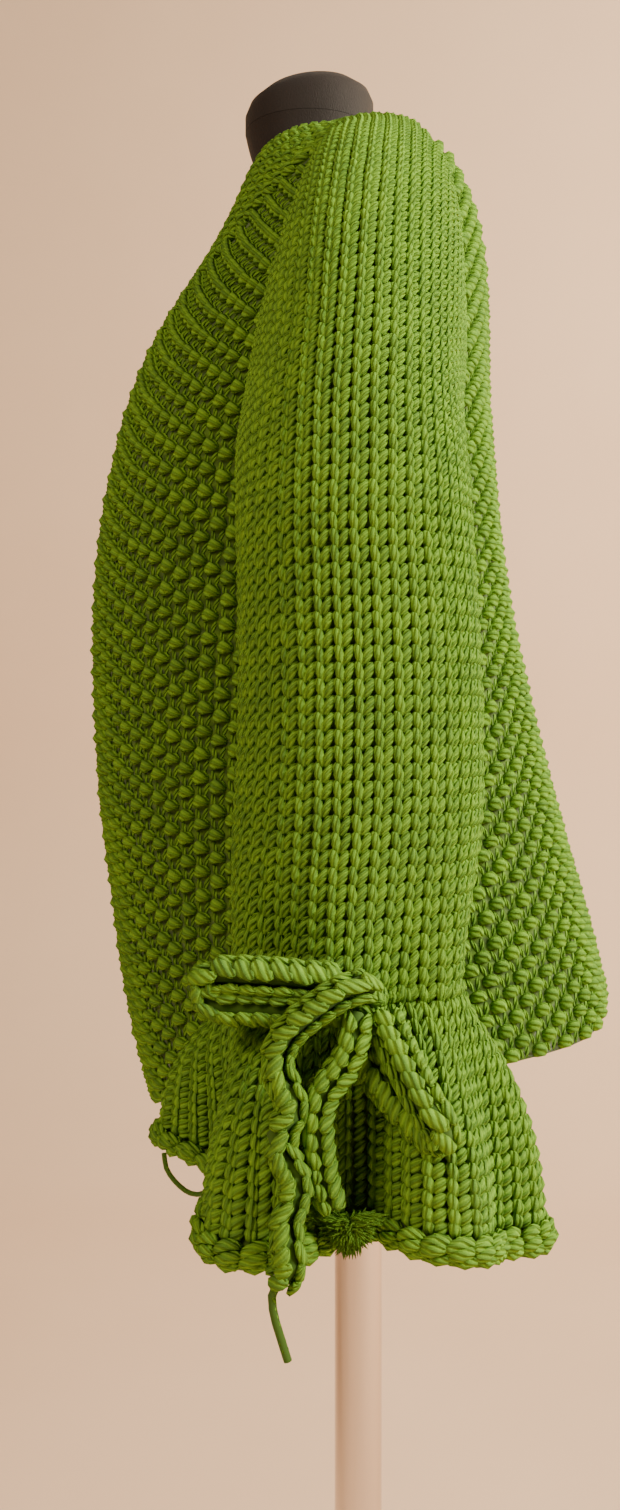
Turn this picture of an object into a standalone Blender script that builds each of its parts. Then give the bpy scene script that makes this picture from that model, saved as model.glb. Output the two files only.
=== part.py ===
"""A hand-knitted cardigan in very thick yarn, on a limbless dress form with a round base.

Metres, +Z up, the floor at Z = 0 and the form's pole on the Z axis. The wearer faces -Y, so +X is the wearer's left.
Heights in the tables are rises from the elbow line, ELBOW_HEIGHT above the floor.
"""

import functools
import math

import bmesh
import bpy
import numpy as np

ELBOW_HEIGHT = 0.900  # metres from the floor to the level that every rise is counted from
WALL = 0.007  # thickness of the knitted cloth
SEAM = 0.0004  # each piece stops this far short of its seam
LINE_GAP = 0.0003  # clearance where two pieces meet face to face

# Numbers of sections and of strips that each knitted piece is made with.
YOKE_AT = np.array((0, 1, 2, 3, 4, 5, 6, 6.7, 7.3, 7.8, 8.2, 8.5, 8.75, 9.0))  # rows of the table YOKE
YOKE_ROWS = len(YOKE_AT) - 1
SIDE_ROWS = 9
SLEEVE_ROWS = 10
NECK_ROWS = 5  # rows of the front that lie beside the neck
SLEEVE_STRIPS = 24
FRONT_STRIPS = 7
BACK_STRIPS = 12
BAND_STRIPS = 2
CUFF_STRIPS = 50
FORM_STRIPS = 24

# Level sections of the body's outer face, hem to neck: front and back are y at the centre lines, middle is y at the
# widest point, and fullness is the power of the section's curve (2 is an ellipse, less is a lens).
BODY = np.array(
    [  # rise, front, back, half width, middle, fullness
        (-0.290, -0.164, 0.202, 0.229, 0.000, 2.30),
        (-0.234, -0.179, 0.197, 0.223, 0.000, 2.30),
        (-0.194, -0.187, 0.189, 0.217, 0.000, 2.30),
        (-0.129, -0.196, 0.172, 0.207, -0.003, 2.30),
        (-0.065, -0.2045, 0.154, 0.198, -0.006, 2.30),
        (0.016, -0.2090, 0.134, 0.187, -0.010, 2.30),
        (0.081, -0.2100, 0.120, 0.180, -0.012, 2.30),
        (0.145, -0.2050, 0.1105, 0.177, -0.012, 2.30),
        (0.200, -0.195, 0.1055, 0.182, -0.010, 2.20),
        (0.246, -0.184, 0.1030, 0.187, -0.008, 2.00),
        (0.2935, -0.167, 0.1030, 0.190, -0.004, 1.75),
        (0.338, -0.143, 0.1035, 0.188, 0.002, 1.50),
        (0.378, -0.115, 0.1005, 0.172, 0.006, 1.40),
        (0.404, -0.103, 0.0950, 0.150, 0.008, 1.45),
        (0.432, -0.0905, 0.0820, 0.112, 0.008, 1.70),
        (0.450, -0.085, 0.0710, 0.092, 0.008, 1.90),
    ]
)

# The hem's rise round the body, from the centre front over the side to the centre back.
HEM = np.array(
    [  # turn, rise
        (0.00, -0.284),
        (0.12, -0.281),
        (0.30, -0.252),
        (0.50, -0.233),
        (0.75, -0.225),
        (0.90, -0.217),
        (1.00, -0.213),
    ]
)
HEM_FOLDS = 5.0  # swings of the hem in half a turn
HEM_FOLD_DEPTH = 0.0035
HEM_FOLD_TOP = -0.02  # the rise where those folds have died out

# The raglan sleeve's top, neck to armpit: where its seams lie on the front and the back of the body, the line down the
# outside of the shoulder, and half the sleeve's width there.
YOKE = np.array(
    [  # row, front rise, front y, back rise, back y, outer x, outer y, outer rise, half width
        (0.0, 0.428, -0.0260, 0.4416, 0.0480, 0.100, 0.010, 0.447, 0.0300),
        (1.0, 0.390, -0.0320, 0.405, 0.0640, 0.138, 0.010, 0.428, 0.0484),
        (2.0, 0.355, -0.0405, 0.365, 0.0705, 0.176, 0.008, 0.407, 0.0563),
        (3.0, 0.318, -0.0520, 0.325, 0.0715, 0.212, 0.005, 0.380, 0.0626),
        (4.0, 0.275, -0.0650, 0.280, 0.0705, 0.246, 0.001, 0.343, 0.0686),
        (5.0, 0.230, -0.0775, 0.235, 0.0688, 0.276, -0.003, 0.297, 0.0738),
        (6.0, 0.190, -0.0835, 0.192, 0.0620, 0.300, -0.006, 0.247, 0.0745),
        (7.0, 0.160, -0.0780, 0.160, 0.0510, 0.317, -0.009, 0.200, 0.0748),
        (8.0, 0.140, -0.0560, 0.140, 0.0320, 0.328, -0.010, 0.158, 0.0745),
        (9.0, 0.1255, -0.0120, 0.1255, -0.0120, 0.334, -0.011, 0.1275, 0.0742),
    ]
)

# Level sections of the sleeve's outer face, wrist to armpit.
SLEEVE = np.array(
    [  # rise, centre x, centre y, half x, half y
        (-0.158, 0.3000, -0.0142, 0.0665, 0.0675),
        (-0.145, 0.2990, -0.0145, 0.0690, 0.0690),
        (-0.1256, 0.2965, -0.0142, 0.0700, 0.0711),
        (-0.095, 0.2925, -0.0127, 0.0710, 0.0740),
        (-0.061, 0.2865, -0.0100, 0.0718, 0.0757),
        (-0.024, 0.2800, -0.0086, 0.0722, 0.0755),
        (0.012, 0.2740, -0.0079, 0.0725, 0.0751),
        (0.061, 0.2670, -0.0089, 0.0725, 0.0747),
        (0.100, 0.2615, -0.0105, 0.0735, 0.0742),
        (0.1265, 0.2558, -0.0115, 0.0783, 0.0742),
    ]
)
GATHERS = 6.0
GATHER_DEPTH = 0.0032
GATHER_TOP = -0.085  # the rise where the wrist's gathers have died out

# The rim of the flared cuff, round the wrist's middle: 0 degrees is away from the body and 90 towards the back.
RIM = np.array(
    [  # degrees, reach from the wrist's middle, rise
        (-180.0, 0.0560, -0.292),
        (-150.0, 0.0660, -0.290),
        (-122.0, 0.0910, -0.267),
        (-92.0, 0.1150, -0.253),
        (-66.0, 0.0810, -0.266),
        (-38.0, 0.1240, -0.288),
        (-18.0, 0.1080, -0.287),
        (2.0, 0.0600, -0.284),
        (22.0, 0.1080, -0.286),
        (34.0, 0.1180, -0.289),
        (50.0, 0.1010, -0.297),
        (74.0, 0.1150, -0.305),
        (98.0, 0.0960, -0.305),
        (124.0, 0.0700, -0.299),
        (152.0, 0.0680, -0.293),
        (180.0, 0.0560, -0.292),
    ]
)
CUFF_FLARE = 2.6  # how early the cuff reaches its full width
CUFF_DOWN = (0.0, 0.10, 0.24, 0.42, 0.64, 0.85, 0.895, 0.935, 0.975, 1.0)  # shares of the cuff's height
ROLL_RADIUS = 0.0070  # of the rolled edge
ROLL_START = 0.85

# The band's free edge round the form's neck and down to where the two fronts meet, for the wearer's left side.
NECK_EDGE = np.array(
    [  # share of the neck, turn on the form, rise, distance from the form
        (0.00, 1.000, 0.4460, 0.0006),
        (0.20, 0.860, 0.4510, 0.0006),
        (0.42, 0.660, 0.4575, 0.0006),
        (0.60, 0.460, 0.4555, 0.0012),
        (0.78, 0.270, 0.4460, 0.0016),
        (0.90, 0.130, 0.4310, 0.0034),
        (1.00, 0.012, 0.4080, 0.0075),
    ]
)
# The seam between the band and the front, from the raglan seam down to the straight front edge.
BAND_SEAM = np.array(
    [  # share, rise, y
        (0.00, 0.4235, -0.0340),
        (0.30, 0.4090, -0.0480),
        (0.60, 0.3910, -0.0740),
        (0.85, 0.3710, -0.0970),
    ]
)
BAND_SEAM_FOOT = 0.352  # the rise where the seam turns down beside the opening
BAND_WIDTH = 0.038
OPENING = 0.004  # half the gap between the two fronts
OPENING_AT_HEM = 0.014

# Level sections of the dress form, as in BODY.
FORM = np.array(
    [  # rise, front, back, half width, middle, fullness
        (-0.180, -0.112, 0.108, 0.158, 0.000, 2.20),
        (-0.168, -0.120, 0.114, 0.166, 0.000, 2.20),
        (-0.100, -0.124, 0.108, 0.162, 0.000, 2.20),
        (0.000, -0.128, 0.084, 0.134, 0.000, 2.20),
        (0.080, -0.154, 0.078, 0.140, -0.004, 2.20),
        (0.150, -0.180, 0.083, 0.153, -0.008, 2.20),
        (0.200, -0.176, 0.086, 0.158, -0.008, 2.15),
        (0.250, -0.160, 0.085, 0.162, -0.005, 1.90),
        (0.300, -0.140, 0.082, 0.164, 0.000, 1.70),
        (0.330, -0.126, 0.080, 0.164, 0.002, 1.55),
        (0.360, -0.108, 0.076, 0.160, 0.004, 1.42),
        (0.385, -0.094, 0.069, 0.148, 0.006, 1.40),
        (0.408, -0.087, 0.058, 0.122, 0.004, 1.45),
        (0.426, -0.0840, 0.042, 0.090, -0.006, 1.60),
        (0.440, -0.0825, 0.0225, 0.0600, -0.0300, 1.95),
        (0.455, -0.0870, 0.0160, 0.0520, -0.0355, 2.00),
        (0.476, -0.0920, 0.0110, 0.0515, -0.0405, 2.00),
    ]
)
FORM_RISES = (-0.180, -0.168, -0.10, -0.02, 0.06, 0.13, 0.19, 0.25, 0.30, 0.34, 0.37, 0.395, 0.415)
FORM_NECK_RISES = (0.426, 0.434, 0.440, 0.446, 0.452, 0.458, 0.470)
CAP_FOOT = 0.4703
CAP_RINGS = ((1.0, 0.0175), (0.93, 0.0260), (0.72, 0.0345), (0.38, 0.0405))  # share of the radius, height over the foot
CAP_SLOPE = 0.11  # the cap's edge rises towards the back

POLE_RADIUS = 0.019
POLE_SIDES = 24
BASE_RADIUS = 0.170
BASE_PROFILE = (  # radius, height: from the floor up the outside to the hub's top
    (BASE_RADIUS - 0.003, 0.0),
    (BASE_RADIUS, 0.003),
    (BASE_RADIUS, 0.008),
    (BASE_RADIUS - 0.004, 0.012),
    (0.036, 0.019),
    (0.030, 0.023),
    (0.028, 0.046),
)
BASE_SIDES = 32

KNOT_CENTRE = (0.3778, -0.0085, -0.1490)  # x, y, rise
KNOT_HALF = (0.0095, 0.0135, 0.0135)
LOOP_RADIUS = 0.0062
TAIL_RADIUS = 0.0054
YARN_END_RADIUS = 0.0030
YARN_LOOP_RADIUS = 0.0020
TUFT_CENTRE = (0.3988, -0.0184, -0.2699)
TUFT_HALF = (0.0080, 0.0115, 0.0104)

# Routes of the wearer's left drawstring: x, y, rise, chosen by hand along the photo's cords.
CORD_ROUTES = {
    "bow_loop_front": (
        LOOP_RADIUS,
        (
            (0.3797, -0.0220, -0.1411),
            (0.3845, -0.0400, -0.1390),
            (0.3845, -0.0600, -0.1375),
            (0.3820, -0.0780, -0.1370),
            (0.3775, -0.0930, -0.1385),
            (0.3745, -0.1010, -0.1450),
            (0.3760, -0.0950, -0.1525),
            (0.3790, -0.0790, -0.1545),
            (0.3810, -0.0600, -0.1552),
            (0.3830, -0.0400, -0.1550),
            (0.3797, -0.0220, -0.1541),
        ),
    ),
    "bow_loop_hanging": (
        LOOP_RADIUS,
        (
            (0.3830, -0.0003, -0.1584),
            (0.3900, 0.0045, -0.1680),
            (0.3980, 0.0100, -0.1790),
            (0.4060, 0.0170, -0.1920),
            (0.4115, 0.0240, -0.2045),
            (0.4115, 0.0310, -0.2140),
            (0.4065, 0.0345, -0.2205),
            (0.4015, 0.0290, -0.2215),
            (0.3970, 0.0185, -0.2125),
            (0.3900, 0.0060, -0.2000),
            (0.3830, -0.0060, -0.1860),
            (0.3785, -0.0125, -0.1740),
            (0.3768, -0.0138, -0.1637),
        ),
    ),
    "tail_long": (
        TAIL_RADIUS,
        (
            (0.3879, -0.0068, -0.1423),
            (0.3960, -0.0090, -0.1385),
            (0.4000, -0.0180, -0.1400),
            (0.4010, -0.0290, -0.1470),
            (0.4010, -0.0400, -0.1550),
            (0.4000, -0.0500, -0.1630),
            (0.3990, -0.0560, -0.1740),
            (0.4020, -0.0575, -0.1840),
            (0.4060, -0.0520, -0.1930),
            (0.4080, -0.0450, -0.2010),
            (0.4100, -0.0510, -0.2090),
            (0.4110, -0.0580, -0.2170),
            (0.4120, -0.0540, -0.2260),
            (0.4140, -0.0460, -0.2350),
            (0.4160, -0.0450, -0.2440),
            (0.4190, -0.0520, -0.2530),
            (0.4230, -0.0530, -0.2630),
            (0.4260, -0.0470, -0.2720),
            (0.4250, -0.0500, -0.2810),
            (0.4225, -0.0550, -0.2870),
        ),
    ),
    "tail_short": (
        TAIL_RADIUS,
        (
            (0.3880, -0.0142, -0.1567),
            (0.3935, -0.0150, -0.1640),
            (0.3965, -0.0165, -0.1760),
            (0.3985, -0.0230, -0.1850),
            (0.4010, -0.0310, -0.1930),
            (0.4030, -0.0350, -0.2040),
            (0.4035, -0.0350, -0.2180),
            (0.4025, -0.0330, -0.2330),
            (0.4022, -0.0310, -0.2460),
            (0.4014, -0.0271, -0.2555),
        ),
    ),
    "yarn_end": (
        YARN_END_RADIUS,
        (
            (0.4221, -0.0557, -0.2878),
            (0.4205, -0.0580, -0.2930),
            (0.4195, -0.0575, -0.3020),
            (0.4190, -0.0540, -0.3150),
            (0.4185, -0.0500, -0.3280),
        ),
    ),
    "yarn_loop": (
        YARN_LOOP_RADIUS,
        (
            (0.3065, -0.1248, -0.2554),
            (0.3080, -0.1233, -0.2639),
            (0.3110, -0.1168, -0.2719),
            (0.3160, -0.1088, -0.2759),
            (0.3220, -0.0998, -0.2739),
            (0.3252, -0.0934, -0.2649),
        ),
    ),
}

YARN = ("yarn", (0.19, 0.42, 0.03), 0.92, 0.0)
FORM_CLOTH = ("form_cloth", (0.012, 0.010, 0.009), 0.85, 0.0)
CHROME = ("chrome", (0.86, 0.86, 0.87), 0.08, 1.0)


def material(look):
    """The named material, made at its first use."""
    name, colour, roughness, metallic = look
    if name not in bpy.data.materials:
        made = bpy.data.materials.new(name)
        made.use_nodes = True
        shader = made.node_tree.nodes["Principled BSDF"]
        shader.inputs["Base Color"].default_value = (*colour, 1.0)
        shader.inputs["Roughness"].default_value = roughness
        shader.inputs["Metallic"].default_value = metallic
    return bpy.data.materials[name]


def read(table, key):
    """A table's other columns at key, each an array like key, on a smooth curve through the rows."""
    keys, values = table[:, 0], table[:, 1:]
    slopes = np.gradient(values, keys, axis=0)
    key = np.clip(np.asarray(key, float), keys[0], keys[-1])
    row = np.clip(np.searchsorted(keys, key) - 1, 0, len(keys) - 2)
    step = (keys[row + 1] - keys[row])[..., None]
    t = (key - keys[row])[..., None] / step
    found = (
        (2 * t**3 - 3 * t**2 + 1) * values[row]
        + (t**3 - 2 * t**2 + t) * step * slopes[row]
        + (3 * t**2 - 2 * t**3) * values[row + 1]
        + (t**3 - t**2) * step * slopes[row + 1]
    )
    return np.moveaxis(found, -1, 0)


def points(x, y, rise):
    """An array of points from arrays of x, y and rise."""
    return np.stack(np.broadcast_arrays(x, y, rise + ELBOW_HEIGHT), -1).astype(float)


def power(value, exponent):
    return np.sign(value) * np.abs(value) ** exponent


def unit(vectors):
    return vectors / np.maximum(np.linalg.norm(vectors, axis=-1, keepdims=True), 1e-12)


def section(table, turn, rise):
    """Points on level sections: turn goes from 0 at the centre front over +X to 1 at the centre back."""
    front, back, half_width, middle, fullness = read(table, rise)
    ahead = power(np.cos(np.pi * turn), 2 / fullness)
    aside = power(np.sin(np.pi * turn), 2 / fullness)
    depth = np.where(ahead > 0, middle - front, back - middle)
    return points(half_width * aside, middle - depth * ahead, rise)


def body(turn, rise):
    """Points on the body's outer face, with the soft folds of the hem."""
    found = section(BODY, turn, rise)
    share = np.clip((HEM_FOLD_TOP - rise) / (HEM_FOLD_TOP - BODY[0, 0]), 0, 1) ** 1.5
    swing = HEM_FOLD_DEPTH * share * np.cos(2 * np.pi * HEM_FOLDS * turn)
    outward = unit(found * (1, 1, 0))
    return found + swing[..., None] * outward


def turn_at(rise, y):
    """How far round the body's left side the point with this rise and y lies."""
    front, back, _, middle, fullness = read(BODY, rise)
    ahead = middle - y
    depth = np.where(ahead > 0, middle - front, back - middle)
    return np.arccos(np.clip(power(ahead / depth, fullness / 2), -1, 1)) / np.pi


def turn_beside(rise, x):
    """How far round the body's front the point with this rise and x lies."""
    half_width, fullness = read(BODY, rise)[[2, 4]]
    return np.arcsin(np.clip(power(x / half_width, fullness / 2), -1, 1)) / np.pi


def raglan(row, side):
    """Where a raglan seam lies on the body, as turn and rise: side 0 is the front's, 1 the back's."""
    columns = read(YOKE, row)
    rise, y = columns[2 * side], columns[2 * side + 1]
    return turn_at(rise, y), rise


def yoke(row, sweep):
    """Points on the sleeve's top: row 0 is at the neck and 9 at the armpit, sweep -1 the front seam, 1 the back's."""
    columns = read(YOKE, row)
    outer, half = points(columns[4], columns[5], columns[6]), columns[7]
    front, back = body(*raglan(row, 0)), body(*raglan(row, 1))
    straight_back = 0.03 * (np.asarray(row) / YOKE[-1, 0]) ** 4
    across = unit(back - front + straight_back[..., None] * (0, 1, 0))
    half_chord = np.linalg.norm(back - front, axis=-1) / 2
    half = np.maximum(half / across[..., 1], half_chord + 1e-6)
    end = np.pi - np.arcsin(half_chord / half)
    inner = (front + back) / 2
    reach = np.linalg.norm(outer - inner, axis=-1)
    radius = reach / (1 - np.cos(end))
    outward = unit(outer - inner)
    centre = outer - outward * radius[..., None]

    def arc(angle):
        level = centre + outward * (radius * np.cos(angle))[..., None]
        return level + (half * np.sin(angle))[..., None] * across

    to_front = np.maximum(-sweep, 0)[..., None] ** 3 * (front - arc(-end))
    to_back = np.maximum(sweep, 0)[..., None] ** 3 * (back - arc(end))
    return arc(sweep * end) + to_front + to_back


def gather(angle, rise):
    """How far the wrist's gathers push the cloth out."""
    share = np.clip((GATHER_TOP - rise) / (GATHER_TOP - SLEEVE[0, 0]), 0, 1)
    return GATHER_DEPTH * share**2 * np.cos(GATHERS * angle + 0.6)


def sleeve(rise, sweep):
    """Points on the sleeve below the armpit: sweep goes once round, from the inner side over the front."""
    centre_x, centre_y, half_x, half_y = read(SLEEVE, rise)
    angle = np.pi * sweep
    more = gather(angle, rise)
    x = centre_x + (half_x + more) * np.cos(angle)
    return points(x, centre_y + (half_y + more) * np.sin(angle), rise)


def cuff(down, angle):
    """Points on the cuff: down goes from 0 at the wrist to 1 at the rim."""
    wrist_rise = SLEEVE[0, 0] + 0 * angle
    middle_x, middle_y, half_x, half_y = read(SLEEVE, wrist_rise)
    more = gather(angle, wrist_rise)
    start = np.hypot((half_x + more) * np.cos(angle), (half_y + more) * np.sin(angle))
    reach, rim_rise = read(RIM, np.degrees(angle))
    out = start + (reach - start) * (1 - (1 - down) ** CUFF_FLARE)
    rise = wrist_rise + (rim_rise - wrist_rise) * down
    return points(middle_x + out * np.cos(angle), middle_y + out * np.sin(angle), rise)


def normals(surface, u, v, step=1e-4):
    """Directions square to a surface given as surface(u, v): outward where u crossed with v points outward."""
    along = surface(u + step, v) - surface(u - step, v)
    across = surface(u, v + step) - surface(u, v - step)
    return unit(np.cross(along, across))


def mesh_object(name, vertices, faces, look, smooth=True):
    """An object from vertices and faces, with every face turned outward."""
    mesh = bpy.data.meshes.new(name)
    mesh.from_pydata([tuple(v) for v in vertices], [], faces)
    made = bpy.data.objects.new(name, mesh)
    bpy.context.scene.collection.objects.link(made)
    work = bmesh.new()
    work.from_mesh(mesh)
    bmesh.ops.recalc_face_normals(work, faces=work.faces)
    work.to_mesh(mesh)
    work.free()
    if smooth:
        mesh.shade_smooth()
        mesh.set_sharp_from_angle(angle=math.radians(50))
    mesh.materials.append(material(look))
    return made


def cloth(name, outer, inner, closed_from=None):
    """A knitted wall between two grids of points. From row closed_from on, the last column joins the first."""
    rows, columns = outer.shape[:2]
    number, place, count = {}, [], 0
    for i in range(rows):
        for j in range(columns):
            if closed_from is not None and i >= closed_from and j == columns - 1:
                number[i, j] = number[i, 0]
                continue
            number[i, j] = count
            place.append((i, j))
            count += 1
    sheet = []
    for i in range(rows - 1):
        for j in range(columns - 1):
            corners = (number[i, j], number[i + 1, j], number[i + 1, j + 1], number[i, j + 1])
            sheet.append(tuple(dict.fromkeys(corners)))
    uses = {}
    for face in sheet:
        for a, b in zip(face, face[1:] + face[:1]):
            uses.setdefault(frozenset((a, b)), []).append((a, b))
    faces = sheet + [tuple(v + count for v in reversed(face)) for face in sheet]
    for pairs in uses.values():
        if len(pairs) == 1:
            a, b = pairs[0]
            if a < b:
                faces += [(b, a, b + count), (a, a + count, b + count)]
            else:
                faces += [(b, a, a + count), (b, a + count, b + count)]
    vertices = [outer[p] for p in place] + [inner[p] for p in place]
    return mesh_object(name, vertices, faces, YARN)


def drawn_in(outer, inner, edge):
    """Both grids with one edge moved SEAM into the piece: top, bottom, first or last."""
    at, beside = {
        "top": ((0,), (1,)),
        "bottom": ((-1,), (-2,)),
        "first": ((slice(None), 0), (slice(None), 1)),
        "last": ((slice(None), -1), (slice(None), -2)),
    }[edge]
    shift = SEAM * unit(outer[beside] - outer[at])
    outer, inner = outer.copy(), inner.copy()
    outer[at] += shift
    inner[at] += shift
    return outer, inner


def mirrored(grid):
    return grid * (-1, 1, 1)


def raglan_depths(side):
    """For each yoke row, the seam's point on the outer face and the vector to the inner face, shared by both pieces."""
    row = YOKE_AT
    turn, rise = raglan(row, side)
    seam = body(turn, rise)
    of_body = normals(body, turn, rise)
    sweep = np.full_like(row, 2.0 * side - 1.0) * 0.97
    of_sleeve = normals(yoke, row, sweep)
    up = np.array((0, 0, 1.0)) * 0.9 * (row[:, None] / row[-1]) ** 6
    inward = unit(up - of_body - of_sleeve)
    inward[-1] = (0, 0, 1)
    return seam, inward * WALL


def front_grids():
    """Outer and inner points of the left front, neck to hem, and from the band's seam to the raglan and side seam."""
    rows = YOKE_ROWS + SIDE_ROWS + 1
    raglan_turn, raglan_rise = raglan(YOKE_AT, 0)
    below = np.linspace(0, 1, SIDE_ROWS + 1)[1:]
    armpit_rise = raglan_rise[-1]
    side_rise = armpit_rise + (HEM[3, 1] - armpit_rise) * below
    side_turn = np.full(SIDE_ROWS, raglan_turn[-1]) * (1 - below) + 0.5 * below
    last_turn = np.concatenate([raglan_turn, side_turn])
    last_rise = np.concatenate([raglan_rise, side_rise])
    first_turn, first_rise = band_seam_front(rows)
    share = np.linspace(0, 1, FRONT_STRIPS + 1)
    turn = first_turn[:, None] + (last_turn - first_turn)[:, None] * share
    rise = first_rise[:, None] + (last_rise - first_rise)[:, None] * share
    rise[-1] = read(HEM, turn[-1])[0]
    outer = body(turn, rise)
    inner = outer - WALL * normals(body, turn, rise)
    seam, depth = raglan_depths(0)
    inner[: YOKE_ROWS + 1, -1] = seam + depth
    return outer, inner


def band_seam_front(rows):
    """Turn and rise of the seam between the band and the left front, one for each of the front's rows."""
    rise, y = read(BAND_SEAM, np.linspace(0, BAND_SEAM[-1, 0], NECK_ROWS))
    turn = turn_at(rise, y)
    straight = rows - len(rise)
    down = np.linspace(0, 1, straight)
    foot_rise = BAND_SEAM_FOOT + (HEM[0, 1] - BAND_SEAM_FOOT) * down
    x = OPENING + (OPENING_AT_HEM - OPENING) * down**2 + BAND_WIDTH
    return np.concatenate([turn, turn_beside(foot_rise, x)]), np.concatenate([rise, foot_rise])


def back_grids():
    """Outer and inner points of the back, neck to hem, from the wearer's left to their right."""
    raglan_turn, raglan_rise = raglan(YOKE_AT, 1)
    below = np.linspace(0, 1, SIDE_ROWS + 1)[1:]
    side_rise = raglan_rise[-1] + (HEM[3, 1] - raglan_rise[-1]) * below
    side_turn = np.full(SIDE_ROWS, raglan_turn[-1]) * (1 - below) + 0.5 * below
    edge_turn = np.concatenate([raglan_turn, side_turn])
    edge_rise = np.concatenate([raglan_rise, side_rise])
    across = np.linspace(-1, 1, BACK_STRIPS + 1)
    turn = 1 + (1 - edge_turn)[:, None] * across
    neck_dip = 0.014 * (1 - across**2) * np.clip(1 - np.arange(len(edge_rise)) / 3, 0, 1)[:, None]
    rise = edge_rise[:, None] - neck_dip
    rise[-1] = read(HEM, 1 - np.abs(1 - turn[-1]))[0]
    outer = body(turn, rise)
    inner = outer - WALL * normals(body, turn, rise)
    seam, depth = raglan_depths(1)
    inner[: YOKE_ROWS + 1, 0] = seam + depth
    inner[: YOKE_ROWS + 1, -1] = mirrored(seam + depth)
    return outer, inner


def sleeve_grids():
    """Outer and inner points of the left sleeve, neck to wrist, from the front seam over the outside to the back's."""
    sweep = np.linspace(-1, 1, SLEEVE_STRIPS + 1)
    row = YOKE_AT[:, None] + 0 * sweep
    top = yoke(row, sweep + 0 * row)
    top_inner = top - WALL * normals(yoke, row, sweep + 0 * row)
    for side, column in ((0, 0), (1, -1)):
        seam, depth = raglan_depths(side)
        top[:, column] = seam
        top_inner[:, column] = seam + depth
    down = np.linspace(0, 1, SLEEVE_ROWS + 1)[1:, None]
    wrist = SLEEVE[0, 0]
    rise = SLEEVE[-1, 0] + (wrist - SLEEVE[-1, 0]) * down + 0 * sweep
    tube = sleeve(rise, sweep + 0 * rise)
    tube_inner = tube - WALL * normals(lambda u, v: sleeve(-u, v), -rise, sweep + 0 * rise)
    tube[-1, :, 2] = tube_inner[-1, :, 2] = ELBOW_HEIGHT + wrist + LINE_GAP / 2
    return np.concatenate([top, tube]), np.concatenate([top_inner, tube_inner])


def cuff_grids():
    """Outer and inner points of the left cuff, wrist to rolled rim."""
    angle = np.linspace(-np.pi, np.pi, CUFF_STRIPS + 1)
    down = np.array(CUFF_DOWN)[:, None] + 0 * angle
    angle = angle + 0 * down
    middle = cuff(down, angle)
    out = normals(cuff, np.clip(down, 1e-3, 1 - 1e-3), angle)
    across = np.clip((down - ROLL_START) / (1 - ROLL_START), 0, 1)
    bulge = 2 * ROLL_RADIUS * np.sqrt(np.clip(1 - (2 * across - 1) ** 2, 0, 1))
    outer = middle + out * (bulge * 0.55)[..., None]
    inner = middle - out * WALL
    outer[0, :, 2] = inner[0, :, 2] = ELBOW_HEIGHT + SLEEVE[0, 0] - LINE_GAP / 2
    return outer, inner


def band_side(front, back, sleeve_top):
    """Outer and inner grids of the band's left half, from the centre back to the front hem, seam to free edge."""
    half = BACK_STRIPS // 2
    seams = []
    for k in range(2):
        back_part = back[k][0, half::-1]
        seams.append(np.concatenate([back_part, sleeve_top[k][0, -2:0:-1], front[k][0, ::-1], front[k][1:, 0]]))
    seam, seam_inner = seams
    round_neck = half + SLEEVE_STRIPS + FRONT_STRIPS + NECK_ROWS
    lengths = np.concatenate([[0], np.cumsum(np.linalg.norm(np.diff(seam[: round_neck + 1], axis=0), axis=1))])
    form_turn, form_rise, away = read(NECK_EDGE, lengths / lengths[-1])
    of_form = functools.partial(section, FORM)
    edge_out = np.zeros_like(seam)
    edge_out[: round_neck + 1] = unit(normals(of_form, form_turn, form_rise) * (1, 1, 0))
    edge = np.zeros_like(seam)
    edge[: round_neck + 1] = of_form(form_turn, form_rise) + edge_out[: round_neck + 1] * (WALL + away)[:, None]
    down = (seam[round_neck, 2] - seam[round_neck:, 2]) / (seam[round_neck, 2] - seam[-1, 2])
    rise = NECK_EDGE[-1, 2] + (HEM[0, 1] - NECK_EDGE[-1, 2]) * down
    x = OPENING + (OPENING_AT_HEM - OPENING) * down**2
    edge[round_neck:] = body(turn_beside(rise, x), rise)
    edge_out[round_neck:] = normals(body, turn_beside(rise, x), rise)
    edge_inner = edge - WALL * edge_out
    share = np.linspace(0, 1, BAND_STRIPS + 1)[None, :, None]
    outer = seam[:, None] + (edge - seam)[:, None] * share
    inner = seam_inner[:, None] + (edge_inner - seam_inner)[:, None] * share
    return outer, inner


def add_cardigan():
    front, back, left_sleeve = front_grids(), back_grids(), sleeve_grids()
    band_outer, band_inner = band_side(front, back, left_sleeve)
    whole = np.concatenate([mirrored(band_outer[:0:-1]), band_outer])
    whole_inner = np.concatenate([mirrored(band_inner[:0:-1]), band_inner])
    whole, whole_inner = drawn_in(whole, whole_inner, "first")
    cloth("front_and_neck_band", whole, whole_inner)
    for edge in ("top", "first", "last"):
        back = drawn_in(*back, edge)
    cloth("back", *back)
    for edge in ("first", "last", "top"):
        front = drawn_in(*front, edge)
    top = [left_sleeve[k][: YOKE_ROWS + 1] for k in range(2)]
    for edge in ("first", "last", "top"):
        top = drawn_in(*top, edge)
    left_sleeve = [np.concatenate([top[k], left_sleeve[k][YOKE_ROWS + 1 :]]) for k in range(2)]
    for k in range(2):
        left_sleeve[k][YOKE_ROWS, -1] = left_sleeve[k][YOKE_ROWS, 0]
    left_cuff = cuff_grids()
    for name, grids, closed_from in (
        ("front", front, None),
        ("sleeve", left_sleeve, YOKE_ROWS),
        ("cuff", left_cuff, 0),
    ):
        cloth(f"{name}_left", *grids, closed_from)
        cloth(f"{name}_right", mirrored(grids[0]), mirrored(grids[1]), closed_from)


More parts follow.
